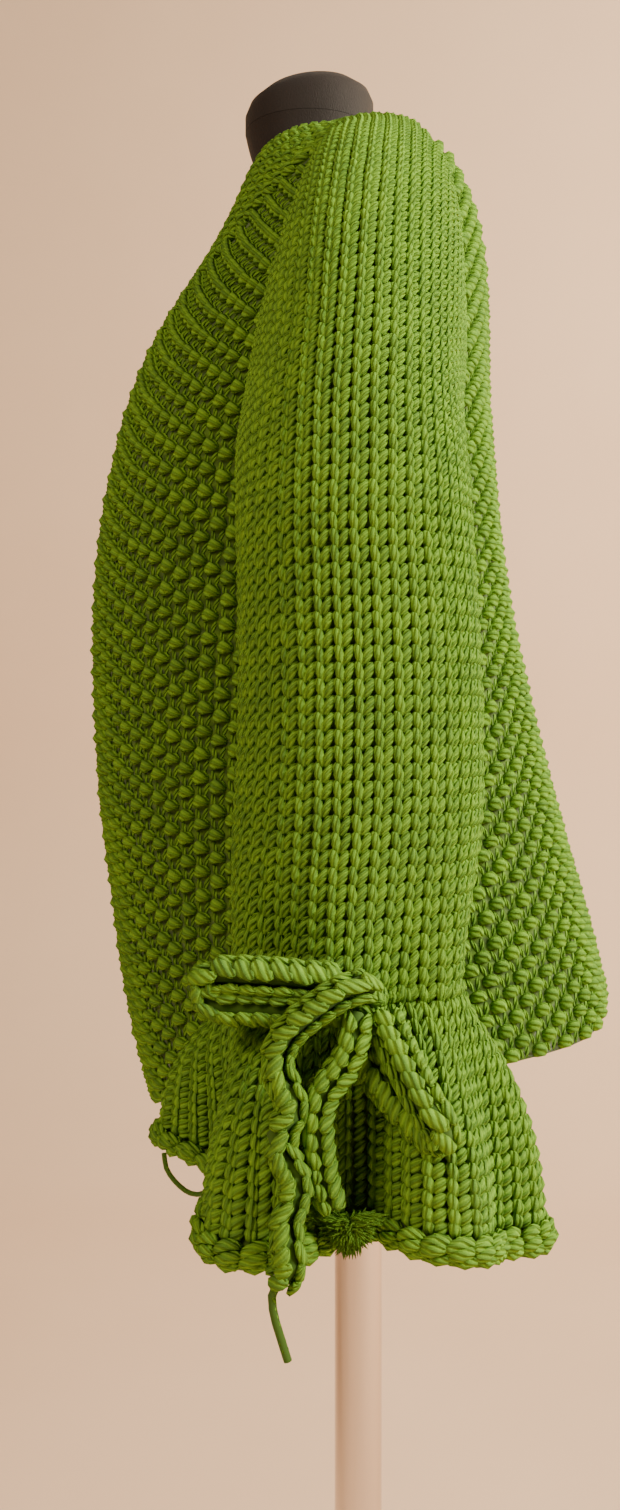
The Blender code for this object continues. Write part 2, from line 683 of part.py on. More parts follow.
def smooth_route(route, spacing):
    """Points about spacing apart on a smooth curve through the route."""
    route = np.array(route)
    keys = np.concatenate([[0], np.cumsum(np.linalg.norm(np.diff(route, axis=0), axis=1))])
    count = max(3, round(keys[-1] / spacing))
    return points(*read(np.column_stack([keys, route]), np.linspace(0, keys[-1], count + 1)))


def add_cord(name, route, radius):
    """A round cord along points, with flat filled ends."""
    curve = bpy.data.curves.new(name, "CURVE")
    curve.dimensions = "3D"
    curve.bevel_depth = radius
    curve.bevel_resolution = 2
    curve.use_fill_caps = True
    spline = curve.splines.new("POLY")
    spline.points.add(len(route) - 1)
    spline.points.foreach_set("co", np.column_stack([route, np.ones(len(route))]).ravel())
    curve.materials.append(material(YARN))
    made = bpy.data.objects.new(name, curve)
    bpy.context.scene.collection.objects.link(made)
    return made


def add_ball(name, centre, half, side, segments=12, rings=8):
    """A rounded lump with half its sizes given."""
    work = bmesh.new()
    bmesh.ops.create_uvsphere(work, u_segments=segments, v_segments=rings, radius=1.0)
    bmesh.ops.scale(work, vec=half, verts=work.verts)
    bmesh.ops.translate(work, vec=(side * centre[0], centre[1], centre[2] + ELBOW_HEIGHT), verts=work.verts)
    mesh = bpy.data.meshes.new(name)
    work.to_mesh(mesh)
    work.free()
    mesh.shade_smooth()
    mesh.materials.append(material(YARN))
    bpy.context.scene.collection.objects.link(bpy.data.objects.new(name, mesh))


def add_drawstrings():
    for side, word in ((1, "left"), (-1, "right")):
        add_ball(f"bow_knot_{word}", KNOT_CENTRE, KNOT_HALF, side)
        add_ball(f"tail_tuft_{word}", TUFT_CENTRE, TUFT_HALF, side)
        for name, (radius, route) in CORD_ROUTES.items():
            along = smooth_route(route, 2.2 * radius)
            add_cord(f"{name}_{word}", along * (side, 1, 1), radius)


def rings_object(name, rings, look):
    """A closed body through rings of points, bottom to top, with a flat end at the first and the last."""
    count = len(rings[0])
    faces = [tuple(reversed(range(count)))]
    for i in range(len(rings) - 1):
        for j in range(count):
            low, high, after = i * count, (i + 1) * count, (j + 1) % count
            faces.append((low + j, low + after, high + after, high + j))
    faces.append(tuple(range((len(rings) - 1) * count, len(rings) * count)))
    return mesh_object(name, np.concatenate(rings), faces, look)


def circle(radius, height, sides, centre=(0, 0)):
    angle = np.arange(sides) * 2 * np.pi / sides
    x = centre[0] + radius * np.cos(angle)
    y = centre[1] + radius * np.sin(angle)
    return points(x, y, height - ELBOW_HEIGHT)


def add_dress_form():
    turn = np.arange(FORM_STRIPS) * 2.0 / FORM_STRIPS
    rings = [section(FORM, turn, np.full(FORM_STRIPS, rise)) for rise in FORM_RISES + FORM_NECK_RISES]
    rings_object("form_torso", rings, FORM_CLOTH)
    neck = section(FORM, turn, np.full(FORM_STRIPS, FORM_NECK_RISES[-1]))
    middle = neck.mean(axis=0)
    caps = [neck + (0, 0, CAP_FOOT - FORM_NECK_RISES[-1])]
    for share, height in CAP_RINGS:
        ring = middle + (neck - middle) * share
        ring[:, 2] = middle[2] + CAP_FOOT - FORM_NECK_RISES[-1] + height + CAP_SLOPE * (ring[:, 1] - middle[1])
        caps.append(ring)
    rings_object("form_neck_cap", caps, FORM_CLOTH)
    top = ELBOW_HEIGHT + FORM_RISES[0] - LINE_GAP
    foot = BASE_PROFILE[-1][1] + LINE_GAP
    rings_object("form_pole", [circle(POLE_RADIUS, z, POLE_SIDES) for z in (foot, top)], CHROME)
    rings_object("form_base", [circle(r, z, BASE_SIDES) for r, z in BASE_PROFILE], CHROME)


def main():
    for old in list(bpy.data.objects):
        bpy.data.objects.remove(old, do_unlink=True)
    add_dress_form()
    add_cardigan()
    add_drawstrings()


main()
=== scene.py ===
"""Scene for the chunky hand-knitted cardigan on its dress form: every stitch is a length of yarn laid on the cloth.

Metres, +Z up. The wearer faces -Y and +X is the wearer's left, the side that the camera sees.
"""

import functools
import math

import bmesh
import bpy
import numpy as np
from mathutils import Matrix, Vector


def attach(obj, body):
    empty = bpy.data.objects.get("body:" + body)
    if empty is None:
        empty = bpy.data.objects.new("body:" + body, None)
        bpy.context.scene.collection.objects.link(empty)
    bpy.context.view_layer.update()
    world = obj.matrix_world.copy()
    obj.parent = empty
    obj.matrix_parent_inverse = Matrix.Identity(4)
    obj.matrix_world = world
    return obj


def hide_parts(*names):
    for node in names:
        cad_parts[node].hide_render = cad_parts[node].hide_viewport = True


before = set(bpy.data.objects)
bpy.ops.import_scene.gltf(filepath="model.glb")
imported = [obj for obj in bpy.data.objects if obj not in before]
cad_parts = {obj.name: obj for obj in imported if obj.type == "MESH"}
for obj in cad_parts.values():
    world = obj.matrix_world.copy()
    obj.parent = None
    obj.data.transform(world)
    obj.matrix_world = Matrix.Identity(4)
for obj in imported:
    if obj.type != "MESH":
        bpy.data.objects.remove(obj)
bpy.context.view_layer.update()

ELBOW_HEIGHT = 0.900  # metres from the floor to the level that every rise is counted from
WALL = 0.007  # thickness of the knitted cloth
LINE_GAP = 0.0003  # clearance where two pieces meet face to face

# Numbers of sections and of strips that each knitted piece is made with.
YOKE_AT = np.array((0, 0.5, 1, 1.5, 2, 3, 4, 5, 6, 6.7, 7.3, 7.8, 8.2, 8.5, 8.75, 9.0))  # rows of the table YOKE
YOKE_ROWS = len(YOKE_AT) - 1
SIDE_ROWS = 14
SLEEVE_ROWS = 16
NECK_ROWS = 5  # rows of the front that lie beside the neck
SLEEVE_STRIPS = 48
FRONT_STRIPS = 14
BACK_STRIPS = 28
BAND_STRIPS = 2
CUFF_STRIPS = 96
FORM_STRIPS = 72

# Level sections of the body's outer face, hem to neck: front and back are y at the centre lines, middle is y at the
# widest point, and fullness is the power of the section's curve (2 is an ellipse, less is a lens).
BODY = np.array([  # rise, front, back, half width, middle, fullness
    (-0.290, -0.164, 0.202, 0.229, 0.000, 2.30),
    (-0.234, -0.179, 0.197, 0.223, 0.000, 2.30),
    (-0.194, -0.187, 0.189, 0.217, 0.000, 2.30),
    (-0.129, -0.196, 0.172, 0.207, -0.003, 2.30),
    (-0.065, -0.2045, 0.154, 0.198, -0.006, 2.30),
    (0.016, -0.2090, 0.134, 0.187, -0.010, 2.30),
    (0.081, -0.2100, 0.120, 0.180, -0.012, 2.30),
    (0.145, -0.2050, 0.1105, 0.177, -0.012, 2.30),
    (0.200, -0.195, 0.1055, 0.182, -0.010, 2.20),
    (0.246, -0.184, 0.1030, 0.187, -0.008, 2.00),
    (0.2935, -0.167, 0.1030, 0.190, -0.004, 1.75),
    (0.338, -0.143, 0.1035, 0.188, 0.002, 1.50),
    (0.378, -0.115, 0.1005, 0.172, 0.006, 1.40),
    (0.404, -0.103, 0.0950, 0.150, 0.008, 1.45),
    (0.432, -0.0905, 0.0820, 0.112, 0.008, 1.70),
    (0.450, -0.085, 0.0710, 0.092, 0.008, 1.90),
])

# The hem's rise round the body, from the centre front over the side to the centre back.
HEM = np.array([  # turn, rise
    (0.00, -0.284),
    (0.12, -0.281),
    (0.30, -0.252),
    (0.50, -0.233),
    (0.75, -0.225),
    (0.90, -0.217),
    (1.00, -0.213),
])
SIDE_SEAM_TURN, SIDE_SEAM_FOOT = HEM[3]  # where the side seams meet the hem
HEM_FOLDS = 5.0  # swings of the hem in half a turn
HEM_FOLD_DEPTH = 0.0035
HEM_FOLD_TOP = -0.02  # the rise where those folds have died out

# The raglan sleeve's top, neck to armpit: where its seams lie on the front and the back of the body, the line down
# the outside of the shoulder, and half the sleeve's width there.
YOKE = np.array([  # row, front rise, front y, back rise, back y, outer x, outer y, outer rise, half width
    (0.0, 0.428, -0.0260, 0.4416, 0.0480, 0.100, 0.010, 0.447, 0.0300),
    (1.0, 0.390, -0.0320, 0.405, 0.0640, 0.138, 0.010, 0.428, 0.0484),
    (2.0, 0.355, -0.0405, 0.365, 0.0705, 0.176, 0.008, 0.407, 0.0563),
    (3.0, 0.318, -0.0520, 0.325, 0.0715, 0.212, 0.005, 0.380, 0.0626),
    (4.0, 0.275, -0.0650, 0.280, 0.0705, 0.246, 0.001, 0.343, 0.0686),
    (5.0, 0.230, -0.0775, 0.235, 0.0688, 0.276, -0.003, 0.297, 0.0738),
    (6.0, 0.190, -0.0835, 0.192, 0.0620, 0.300, -0.006, 0.247, 0.0745),
    (7.0, 0.160, -0.0780, 0.160, 0.0510, 0.317, -0.009, 0.200, 0.0748),
    (8.0, 0.140, -0.0560, 0.140, 0.0320, 0.328, -0.010, 0.158, 0.0745),
    (9.0, 0.1255, -0.0120, 0.1255, -0.0120, 0.334, -0.011, 0.1275, 0.0742),
])

# Level sections of the sleeve's outer face, wrist to armpit.
SLEEVE = np.array([  # rise, centre x, centre y, half x, half y
    (-0.158, 0.3000, -0.0142, 0.0665, 0.0675),
    (-0.145, 0.2990, -0.0145, 0.0690, 0.0690),
    (-0.1256, 0.2965, -0.0142, 0.0700, 0.0711),
    (-0.095, 0.2925, -0.0127, 0.0710, 0.0740),
    (-0.061, 0.2865, -0.0100, 0.0718, 0.0757),
    (-0.024, 0.2800, -0.0086, 0.0722, 0.0755),
    (0.012, 0.2740, -0.0079, 0.0725, 0.0751),
    (0.061, 0.2670, -0.0089, 0.0725, 0.0747),
    (0.100, 0.2615, -0.0105, 0.0735, 0.0742),
    (0.1265, 0.2558, -0.0115, 0.0783, 0.0742),
])
SEAM_SWEEP = 0.97  # just inside the sleeve's seams, where its direction is read
GATHERS = 6.0
GATHER_DEPTH = 0.0058
GATHER_TOP = -0.030  # the rise where the wrist's gathers have died out

# The rim of the flared cuff, round the wrist's middle: 0 degrees is away from the body and 90 towards the back.
RIM = np.array([  # degrees, reach from the wrist's middle, rise
    (-180.0, 0.0560, -0.292),
    (-150.0, 0.0660, -0.290),
    (-122.0, 0.0910, -0.267),
    (-92.0, 0.1150, -0.253),
    (-66.0, 0.0810, -0.266),
    (-38.0, 0.1240, -0.288),
    (-18.0, 0.1080, -0.287),
    (2.0, 0.0600, -0.284),
    (22.0, 0.1080, -0.286),
    (34.0, 0.1180, -0.289),
    (50.0, 0.1010, -0.297),
    (74.0, 0.1150, -0.305),
    (98.0, 0.0960, -0.305),
    (124.0, 0.0700, -0.299),
    (152.0, 0.0680, -0.293),
    (180.0, 0.0560, -0.292),
])
CUFF_FLARE = 2.6  # how early the cuff reaches its full width
CUFF_DOWN = (0.0, 0.10, 0.24, 0.42, 0.64, 0.85, 0.895, 0.935, 0.975, 1.0)  # shares of the cuff's height
ROLL_RADIUS = 0.0070  # of the rolled edge
ROLL_START = 0.85

# The band's free edge round the form's neck and down to where the two fronts meet, for the wearer's left side.
NECK_EDGE = np.array([  # share of the neck, turn on the form, rise, distance from the form
    (0.00, 1.000, 0.4460, 0.0006),
    (0.20, 0.860, 0.4510, 0.0006),
    (0.42, 0.660, 0.4575, 0.0006),
    (0.60, 0.460, 0.4555, 0.0012),
    (0.78, 0.270, 0.4460, 0.0016),
    (0.90, 0.130, 0.4310, 0.0034),
    (1.00, 0.012, 0.4080, 0.0075),
])
# The seam between the band and the front, from the raglan seam down to the straight front edge.
BAND_SEAM = np.array([  # share, rise, y
    (0.00, 0.4235, -0.0340),
    (0.30, 0.4090, -0.0480),
    (0.60, 0.3910, -0.0740),
    (0.85, 0.3710, -0.0970),
])
BAND_SEAM_FOOT = 0.352  # the rise where the seam turns down beside the opening
BAND_WIDTH = 0.038
OPENING = 0.004  # half the gap between the two fronts
OPENING_AT_HEM = 0.014

# Level sections of the dress form, as in BODY.
FORM = np.array([  # rise, front, back, half width, middle, fullness
    (-0.180, -0.112, 0.108, 0.158, 0.000, 2.20),
    (-0.168, -0.120, 0.114, 0.166, 0.000, 2.20),
    (-0.100, -0.124, 0.108, 0.162, 0.000, 2.20),
    (0.000, -0.128, 0.084, 0.134, 0.000, 2.20),
    (0.080, -0.154, 0.078, 0.140, -0.004, 2.20),
    (0.150, -0.180, 0.083, 0.153, -0.008, 2.20),
    (0.200, -0.176, 0.086, 0.158, -0.008, 2.15),
    (0.250, -0.160, 0.085, 0.162, -0.005, 1.90),
    (0.300, -0.140, 0.082, 0.164, 0.000, 1.70),
    (0.330, -0.126, 0.080, 0.164, 0.002, 1.55),
    (0.360, -0.108, 0.076, 0.160, 0.004, 1.42),
    (0.385, -0.094, 0.069, 0.148, 0.006, 1.40),
    (0.408, -0.087, 0.058, 0.122, 0.004, 1.45),
    (0.426, -0.0840, 0.042, 0.090, -0.006, 1.60),
    (0.440, -0.0825, 0.0225, 0.0600, -0.0300, 1.95),
    (0.455, -0.0870, 0.0160, 0.0520, -0.0355, 2.00),
    (0.476, -0.0920, 0.0110, 0.0515, -0.0405, 2.00),
])
FORM_FOOT = -0.180
FORM_SHOULDER = 0.415
FORM_NECK_FOOT = 0.420
FORM_NECK_TOP = 0.470
CAP_FOOT = 0.4703
# The cap's rings: share of its radius, and height over its foot.
CAP_RINGS = ((1.0, 0.0175), (0.93, 0.0260), (0.72, 0.0345), (0.38, 0.0405))
CAP_SLOPE = 0.11  # the cap's edge rises towards the back

POLE_RADIUS = 0.019
BASE_RADIUS = 0.170
BASE_PROFILE = (  # radius, height: from the floor up the outside to the hub's top
    (BASE_RADIUS - 0.003, 0.0),
    (BASE_RADIUS, 0.003),
    (BASE_RADIUS, 0.008),
    (BASE_RADIUS - 0.004, 0.012),
    (0.036, 0.019),
    (0.030, 0.023),
    (0.028, 0.046),
)

KNOT_CENTRE = (0.3778, -0.0085, -0.1490)  # x, y, rise
LOOP_RADIUS = 0.0062
TAIL_RADIUS = 0.0054
YARN_END_RADIUS = 0.0030
YARN_LOOP_RADIUS = 0.0020
TUFT_CENTRE = (0.3988, -0.0184, -0.2699)

# Routes of the wearer's left drawstring: x, y, rise, chosen along the photo's cords.
CORD_ROUTES = {
    "bow_loop_front": (LOOP_RADIUS, (
        (0.3797, -0.0220, -0.1411),
        (0.3845, -0.0400, -0.1390),
        (0.3845, -0.0600, -0.1375),
        (0.3820, -0.0780, -0.1370),
        (0.3775, -0.0930, -0.1385),
        (0.3745, -0.1010, -0.1450),
        (0.3760, -0.0950, -0.1525),
        (0.3790, -0.0790, -0.1545),
        (0.3810, -0.0600, -0.1552),
        (0.3830, -0.0400, -0.1550),
        (0.3797, -0.0220, -0.1541),
    )),
    "bow_loop_hanging": (LOOP_RADIUS, (
        (0.3830, -0.0003, -0.1584),
        (0.3900, 0.0045, -0.1680),
        (0.3980, 0.0100, -0.1790),
        (0.4060, 0.0170, -0.1920),
        (0.4115, 0.0240, -0.2045),
        (0.4115, 0.0310, -0.2140),
        (0.4065, 0.0345, -0.2205),
        (0.4015, 0.0290, -0.2215),
        (0.3970, 0.0185, -0.2125),
        (0.3900, 0.0060, -0.2000),
        (0.3830, -0.0060, -0.1860),
        (0.3785, -0.0125, -0.1740),
        (0.3768, -0.0138, -0.1637),
    )),
    "tail_long": (TAIL_RADIUS, (
        (0.3879, -0.0068, -0.1423),
        (0.3960, -0.0090, -0.1385),
        (0.4000, -0.0180, -0.1400),
        (0.4010, -0.0290, -0.1470),
        (0.4010, -0.0400, -0.1550),
        (0.4000, -0.0500, -0.1630),
        (0.3990, -0.0560, -0.1740),
        (0.4020, -0.0575, -0.1840),
        (0.4060, -0.0520, -0.1930),
        (0.4080, -0.0450, -0.2010),
        (0.4100, -0.0510, -0.2090),
        (0.4110, -0.0580, -0.2170),
        (0.4120, -0.0540, -0.2260),
        (0.4140, -0.0460, -0.2350),
        (0.4160, -0.0450, -0.2440),
        (0.4190, -0.0520, -0.2530),
        (0.4230, -0.0530, -0.2630),
        (0.4260, -0.0470, -0.2720),
        (0.4250, -0.0500, -0.2810),
        (0.4225, -0.0550, -0.2870),
    )),
    "tail_short": (TAIL_RADIUS, (
        (0.3880, -0.0142, -0.1567),
        (0.3935, -0.0150, -0.1640),
        (0.3965, -0.0165, -0.1760),
        (0.3985, -0.0230, -0.1850),
        (0.4010, -0.0310, -0.1930),
        (0.4030, -0.0350, -0.2040),
        (0.4035, -0.0350, -0.2180),
        (0.4025, -0.0330, -0.2330),
        (0.4022, -0.0310, -0.2460),
        (0.4014, -0.0271, -0.2555),
    )),
    "yarn_end": (YARN_END_RADIUS, (
        (0.4221, -0.0557, -0.2878),
        (0.4205, -0.0580, -0.2930),
        (0.4195, -0.0575, -0.3020),
        (0.4190, -0.0540, -0.3150),
        (0.4185, -0.0500, -0.3280),
    )),
    "yarn_loop": (YARN_LOOP_RADIUS, (
        (0.3065, -0.1248, -0.2554),
        (0.3080, -0.1233, -0.2639),
        (0.3110, -0.1168, -0.2719),
        (0.3160, -0.1088, -0.2759),
        (0.3220, -0.0998, -0.2739),
        (0.3252, -0.0934, -0.2649),
    )),
}

STITCH_WIDTH = 0.0117  # of the smooth stitch, at the sleeve
STITCH_HEIGHT = 0.0096
MOSS_WIDTH = 0.0130  # of the moss stitch, on the body
MOSS_HEIGHT = 0.0084
CUFF_COLUMNS = 48
BAND_COLUMNS = 4
CORD_COLUMNS = 2
BACKING_DEPTHS = (0.74, 0.97)  # where the backing lies in the wall, as shares of its thickness
UV_LENGTH = 0.010  # metres of yarn for one unit along its UV map
# Half widths and half depths of the yarn in each kind of stitch.
ROPE_WIDE, SLANT_WIDE, SMOOTH_DEEP = 0.0030, 0.0031, 0.0033
BUMP_WIDE, BUMP_DEEP = 0.0049, 0.0044
SUNK_WIDE, SUNK_DEEP = 0.0019, 0.0021
PURL_WIDE, PURL_DEEP = 0.0033, 0.0035
SEAM_STITCH_WIDTH = 0.0125
CORE_SHARES = {True: (0.78, 0.88), False: (0.74, 0.82)}  # CORE_SHARES = {True: (0.78, 0.88), False: (0.74, 0.82)} # core and whole size of a cord, knitted or not
WRAP_HALF_DEPTH, WRAP_HALF_WIDTH = 0.0042, 0.0080  # of the knot's two wraps
TUFT_STRANDS = 640
TUFT_REACH = (0.0100, 0.0155, 0.0165)
STRAND_RADIUS = 0.0007
FLOOR_FRONT, FLOOR_BACK = 3.5, -1.4  # x of the floor's ends
BACKDROP_BEND = 0.9  # radius of the turn from floor to wall
BACKDROP_HEIGHT = 5.0
BACKDROP_WIDTH = 10.0
CAMERA_DISTANCE = 1.15
CAMERA_Y = -0.0387
LENS = 34.09
SHIFT = -0.0232

random = np.random.default_rng(7)


def read(table, key):
    """A table's other columns at key, each an array like key, on a smooth curve through the rows."""
    keys, values = table[:, 0], table[:, 1:]
    slopes = np.gradient(values, keys, axis=0)
    key = np.clip(np.asarray(key, float), keys[0], keys[-1])
    row = np.clip(np.searchsorted(keys, key) - 1, 0, len(keys) - 2)
    step = (keys[row + 1] - keys[row])[..., None]
    t = (key - keys[row])[..., None] / step
    found = (
        (2 * t**3 - 3 * t**2 + 1) * values[row]
        + (t**3 - 2 * t**2 + t) * step * slopes[row]
        + (3 * t**2 - 2 * t**3) * values[row + 1]
        + (t**3 - t**2) * step * slopes[row + 1]
    )
    return np.moveaxis(found, -1, 0)


def points(x, y, rise):
    """An array of points from arrays of x, y and rise."""
    return np.stack(np.broadcast_arrays(x, y, rise + ELBOW_HEIGHT), -1).astype(float)


def power(value, exponent):
    return np.sign(value) * np.abs(value) ** exponent


def unit(vectors):
    return vectors / np.maximum(np.linalg.norm(vectors, axis=-1, keepdims=True), 1e-12)


def distances(line):
    """How far along a line of points each of them lies."""
    return np.concatenate([[0], np.cumsum(np.linalg.norm(np.diff(line, axis=0), axis=1))])


def section(table, turn, rise):
    """Points on level sections: turn goes from 0 at the centre front over +X to 1 at the centre back."""
    front, back, half_width, middle, fullness = read(table, rise)
    ahead = power(np.cos(np.pi * turn), 2 / fullness)
    aside = power(np.sin(np.pi * turn), 2 / fullness)
    depth = np.where(ahead > 0, middle - front, back - middle)
    return points(half_width * aside, middle - depth * ahead, rise)


def body(turn, rise):
    """Points on the body's outer face, with the soft folds of the hem."""
    found = section(BODY, turn, rise)
    share = np.clip((HEM_FOLD_TOP - rise) / (HEM_FOLD_TOP - BODY[0, 0]), 0, 1) ** 1.5
    swing = HEM_FOLD_DEPTH * share * np.cos(2 * np.pi * HEM_FOLDS * turn)
    outward = unit(found * (1, 1, 0))
    return found + swing[..., None] * outward


def turn_at(rise, y):
    """How far round the body's left side the point with this rise and y lies."""
    front, back, _, middle, fullness = read(BODY, rise)
    ahead = middle - y
    depth = np.where(ahead > 0, middle - front, back - middle)
    return np.arccos(np.clip(power(ahead / depth, fullness / 2), -1, 1)) / np.pi


def turn_beside(rise, x):
    """How far round the body's front the point with this rise and x lies."""
    half_width, fullness = read(BODY, rise)[[2, 4]]
    return np.arcsin(np.clip(power(x / half_width, fullness / 2), -1, 1)) / np.pi


def raglan(row, side):
    """Where a raglan seam lies on the body, as turn and rise: side 0 is the front's, 1 the back's."""
    columns = read(YOKE, row)
    rise, y = columns[2 * side], columns[2 * side + 1]
    return turn_at(rise, y), rise


def yoke(row, sweep):
    """Points on the sleeve's top: row 0 is at the neck and 9 at the armpit, sweep -1 the front seam, 1 the back's."""
    columns = read(YOKE, row)
    outer, half = points(columns[4], columns[5], columns[6]), columns[7]
    front, back = body(*raglan(row, 0)), body(*raglan(row, 1))
    straight_back = 0.03 * (np.asarray(row) / YOKE[-1, 0]) ** 4
    across = unit(back - front + straight_back[..., None] * (0, 1, 0))
    half_chord = np.linalg.norm(back - front, axis=-1) / 2
    half = np.maximum(half / across[..., 1], half_chord + 1e-6)
    end = np.pi - np.arcsin(half_chord / half)
    inner = (front + back) / 2
    reach = np.linalg.norm(outer - inner, axis=-1)
    radius = reach / (1 - np.cos(end))
    outward = unit(outer - inner)
    centre = outer - outward * radius[..., None]

    def arc(angle):
        level = centre + outward * (radius * np.cos(angle))[..., None]
        return level + (half * np.sin(angle))[..., None] * across

    to_front = np.maximum(-sweep, 0)[..., None] ** 3 * (front - arc(-end))
    to_back = np.maximum(sweep, 0)[..., None] ** 3 * (back - arc(end))
    return arc(sweep * end) + to_front + to_back


def gather(angle, rise):
    """How far the wrist's gathers push the cloth out."""
    share = np.clip((GATHER_TOP - rise) / (GATHER_TOP - SLEEVE[0, 0]), 0, 1)
    return GATHER_DEPTH * share**2 * np.cos(GATHERS * angle + 0.6)


def sleeve(rise, sweep):
    """Points on the sleeve below the armpit: sweep goes once round, from the inner side over the front."""
    centre_x, centre_y, half_x, half_y = read(SLEEVE, rise)
    angle = np.pi * sweep
    more = gather(angle, rise)
    x = centre_x + (half_x + more) * np.cos(angle)
    return points(x, centre_y + (half_y + more) * np.sin(angle), rise)


def cuff(down, angle):
    """Points on the cuff: down goes from 0 at the wrist to 1 at the rim."""
    wrist_rise = SLEEVE[0, 0] + 0 * angle
    middle_x, middle_y, half_x, half_y = read(SLEEVE, wrist_rise)
    more = gather(angle, wrist_rise)
    start = np.hypot((half_x + more) * np.cos(angle), (half_y + more) * np.sin(angle))
    reach, rim_rise = read(RIM, np.degrees(angle))
    out = start + (reach - start) * (1 - (1 - down) ** CUFF_FLARE)
    rise = wrist_rise + (rim_rise - wrist_rise) * down
    return points(middle_x + out * np.cos(angle), middle_y + out * np.sin(angle), rise)


def normals(surface, u, v, step=1e-4):
    """Directions square to a surface given as surface(u, v): outward where u crossed with v points outward."""
    along = surface(u + step, v) - surface(u - step, v)
    across = surface(u, v + step) - surface(u, v - step)
    return unit(np.cross(along, across))


def mirrored(grid):
    return grid * (-1, 1, 1)


def raglan_depths(side):
    """For each yoke row, the seam's point on the outer face and the way to the inner face, for both pieces."""
    row = YOKE_AT
    turn, rise = raglan(row, side)
    seam = body(turn, rise)
    of_body = normals(body, turn, rise)
    sweep = np.full_like(row, 2.0 * side - 1.0) * SEAM_SWEEP
    of_sleeve = normals(yoke, row, sweep)
    up = np.array((0, 0, 1.0)) * 0.9 * (row[:, None] / row[-1]) ** 6
    inward = unit(up - of_body - of_sleeve)
    inward[-1] = (0, 0, 1)
    return seam, inward * WALL


def outer_edge(side):
    """Turn and rise of the raglan and side seams, neck to hem, of the left front, side 0, or the back, 1."""
    turn, rise = raglan(YOKE_AT, side)
    below = np.linspace(0, 1, SIDE_ROWS + 1)[1:]
    side_turn = turn[-1] * (1 - below) + SIDE_SEAM_TURN * below
    side_rise = rise[-1] + (SIDE_SEAM_FOOT - rise[-1]) * below
    return np.concatenate([turn, side_turn]), np.concatenate([rise, side_rise])


def front_grids():
    """Outer and inner points of the left front, neck to hem, from the band's seam to the outer edge."""
    last_turn, last_rise = outer_edge(0)
    first_turn, first_rise = band_seam_front(len(last_turn))
    share = np.linspace(0, 1, FRONT_STRIPS + 1)
    turn = first_turn[:, None] + (last_turn - first_turn)[:, None] * share
    rise = first_rise[:, None] + (last_rise - first_rise)[:, None] * share
    rise[-1] = read(HEM, turn[-1])[0]
    outer = body(turn, rise)
    inner = outer - WALL * normals(body, turn, rise)
    seam, depth = raglan_depths(0)
    inner[: YOKE_ROWS + 1, -1] = seam + depth
    return outer, inner


def band_seam_front(rows):
    """Turn and rise of the seam between the band and the left front, one for each of the front's rows."""
    rise, y = read(BAND_SEAM, np.linspace(0, BAND_SEAM[-1, 0], NECK_ROWS))
    turn = turn_at(rise, y)
    straight = rows - len(rise)
    down = np.linspace(0, 1, straight)
    foot_rise = BAND_SEAM_FOOT + (HEM[0, 1] - BAND_SEAM_FOOT) * down
    x = OPENING + (OPENING_AT_HEM - OPENING) * down**2 + BAND_WIDTH
    return np.concatenate([turn, turn_beside(foot_rise, x)]), np.concatenate([rise, foot_rise])


def back_grids():
    """Outer and inner points of the back, neck to hem, from the wearer's left to their right."""
    edge_turn, edge_rise = outer_edge(1)
    across = np.linspace(-1, 1, BACK_STRIPS + 1)
    turn = 1 + (1 - edge_turn)[:, None] * across
    neck_dip = 0.014 * (1 - across**2) * np.clip(1 - np.arange(len(edge_rise)) / 3, 0, 1)[:, None]
    rise = edge_rise[:, None] - neck_dip
    rise[-1] = read(HEM, 1 - np.abs(1 - turn[-1]))[0]
    outer = body(turn, rise)
    inner = outer - WALL * normals(body, turn, rise)
    seam, depth = raglan_depths(1)
    inner[: YOKE_ROWS + 1, 0] = seam + depth
    inner[: YOKE_ROWS + 1, -1] = mirrored(seam + depth)
    return outer, inner


def sleeve_grids():
    """Outer and inner points of the left sleeve, neck to wrist, from the front seam to the back's."""
    sweep = np.linspace(-1, 1, SLEEVE_STRIPS + 1)
    row = YOKE_AT[:, None] + 0 * sweep
    top = yoke(row, sweep + 0 * row)
    top_inner = top - WALL * normals(yoke, row, sweep + 0 * row)
    for side, column in ((0, 0), (1, -1)):
        seam, depth = raglan_depths(side)
        top[:, column] = seam
        top_inner[:, column] = seam + depth
    down = np.linspace(0, 1, SLEEVE_ROWS + 1)[1:, None]
    wrist = SLEEVE[0, 0]
    rise = SLEEVE[-1, 0] + (wrist - SLEEVE[-1, 0]) * down + 0 * sweep
    tube = sleeve(rise, sweep + 0 * rise)
    tube_inner = tube - WALL * normals(lambda u, v: sleeve(-u, v), -rise, sweep + 0 * rise)
    tube[-1, :, 2] = tube_inner[-1, :, 2] = ELBOW_HEIGHT + wrist + LINE_GAP / 2
    return np.concatenate([top, tube]), np.concatenate([top_inner, tube_inner])


def cuff_grids():
    """Outer and inner points of the left cuff, wrist to rolled rim."""
    angle = np.linspace(-np.pi, np.pi, CUFF_STRIPS + 1)
    down = np.array(CUFF_DOWN)[:, None] + 0 * angle
    angle = angle + 0 * down
    middle = cuff(down, angle)
    out = normals(cuff, np.clip(down, 1e-3, 1 - 1e-3), angle)
    across = np.clip((down - ROLL_START) / (1 - ROLL_START), 0, 1)
    bulge = 2 * ROLL_RADIUS * np.sqrt(np.clip(1 - (2 * across - 1) ** 2, 0, 1))
    outer = middle + out * (bulge * 0.55)[..., None]
    inner = middle - out * WALL
    outer[0, :, 2] = inner[0, :, 2] = ELBOW_HEIGHT + SLEEVE[0, 0] - LINE_GAP / 2
    return outer, inner


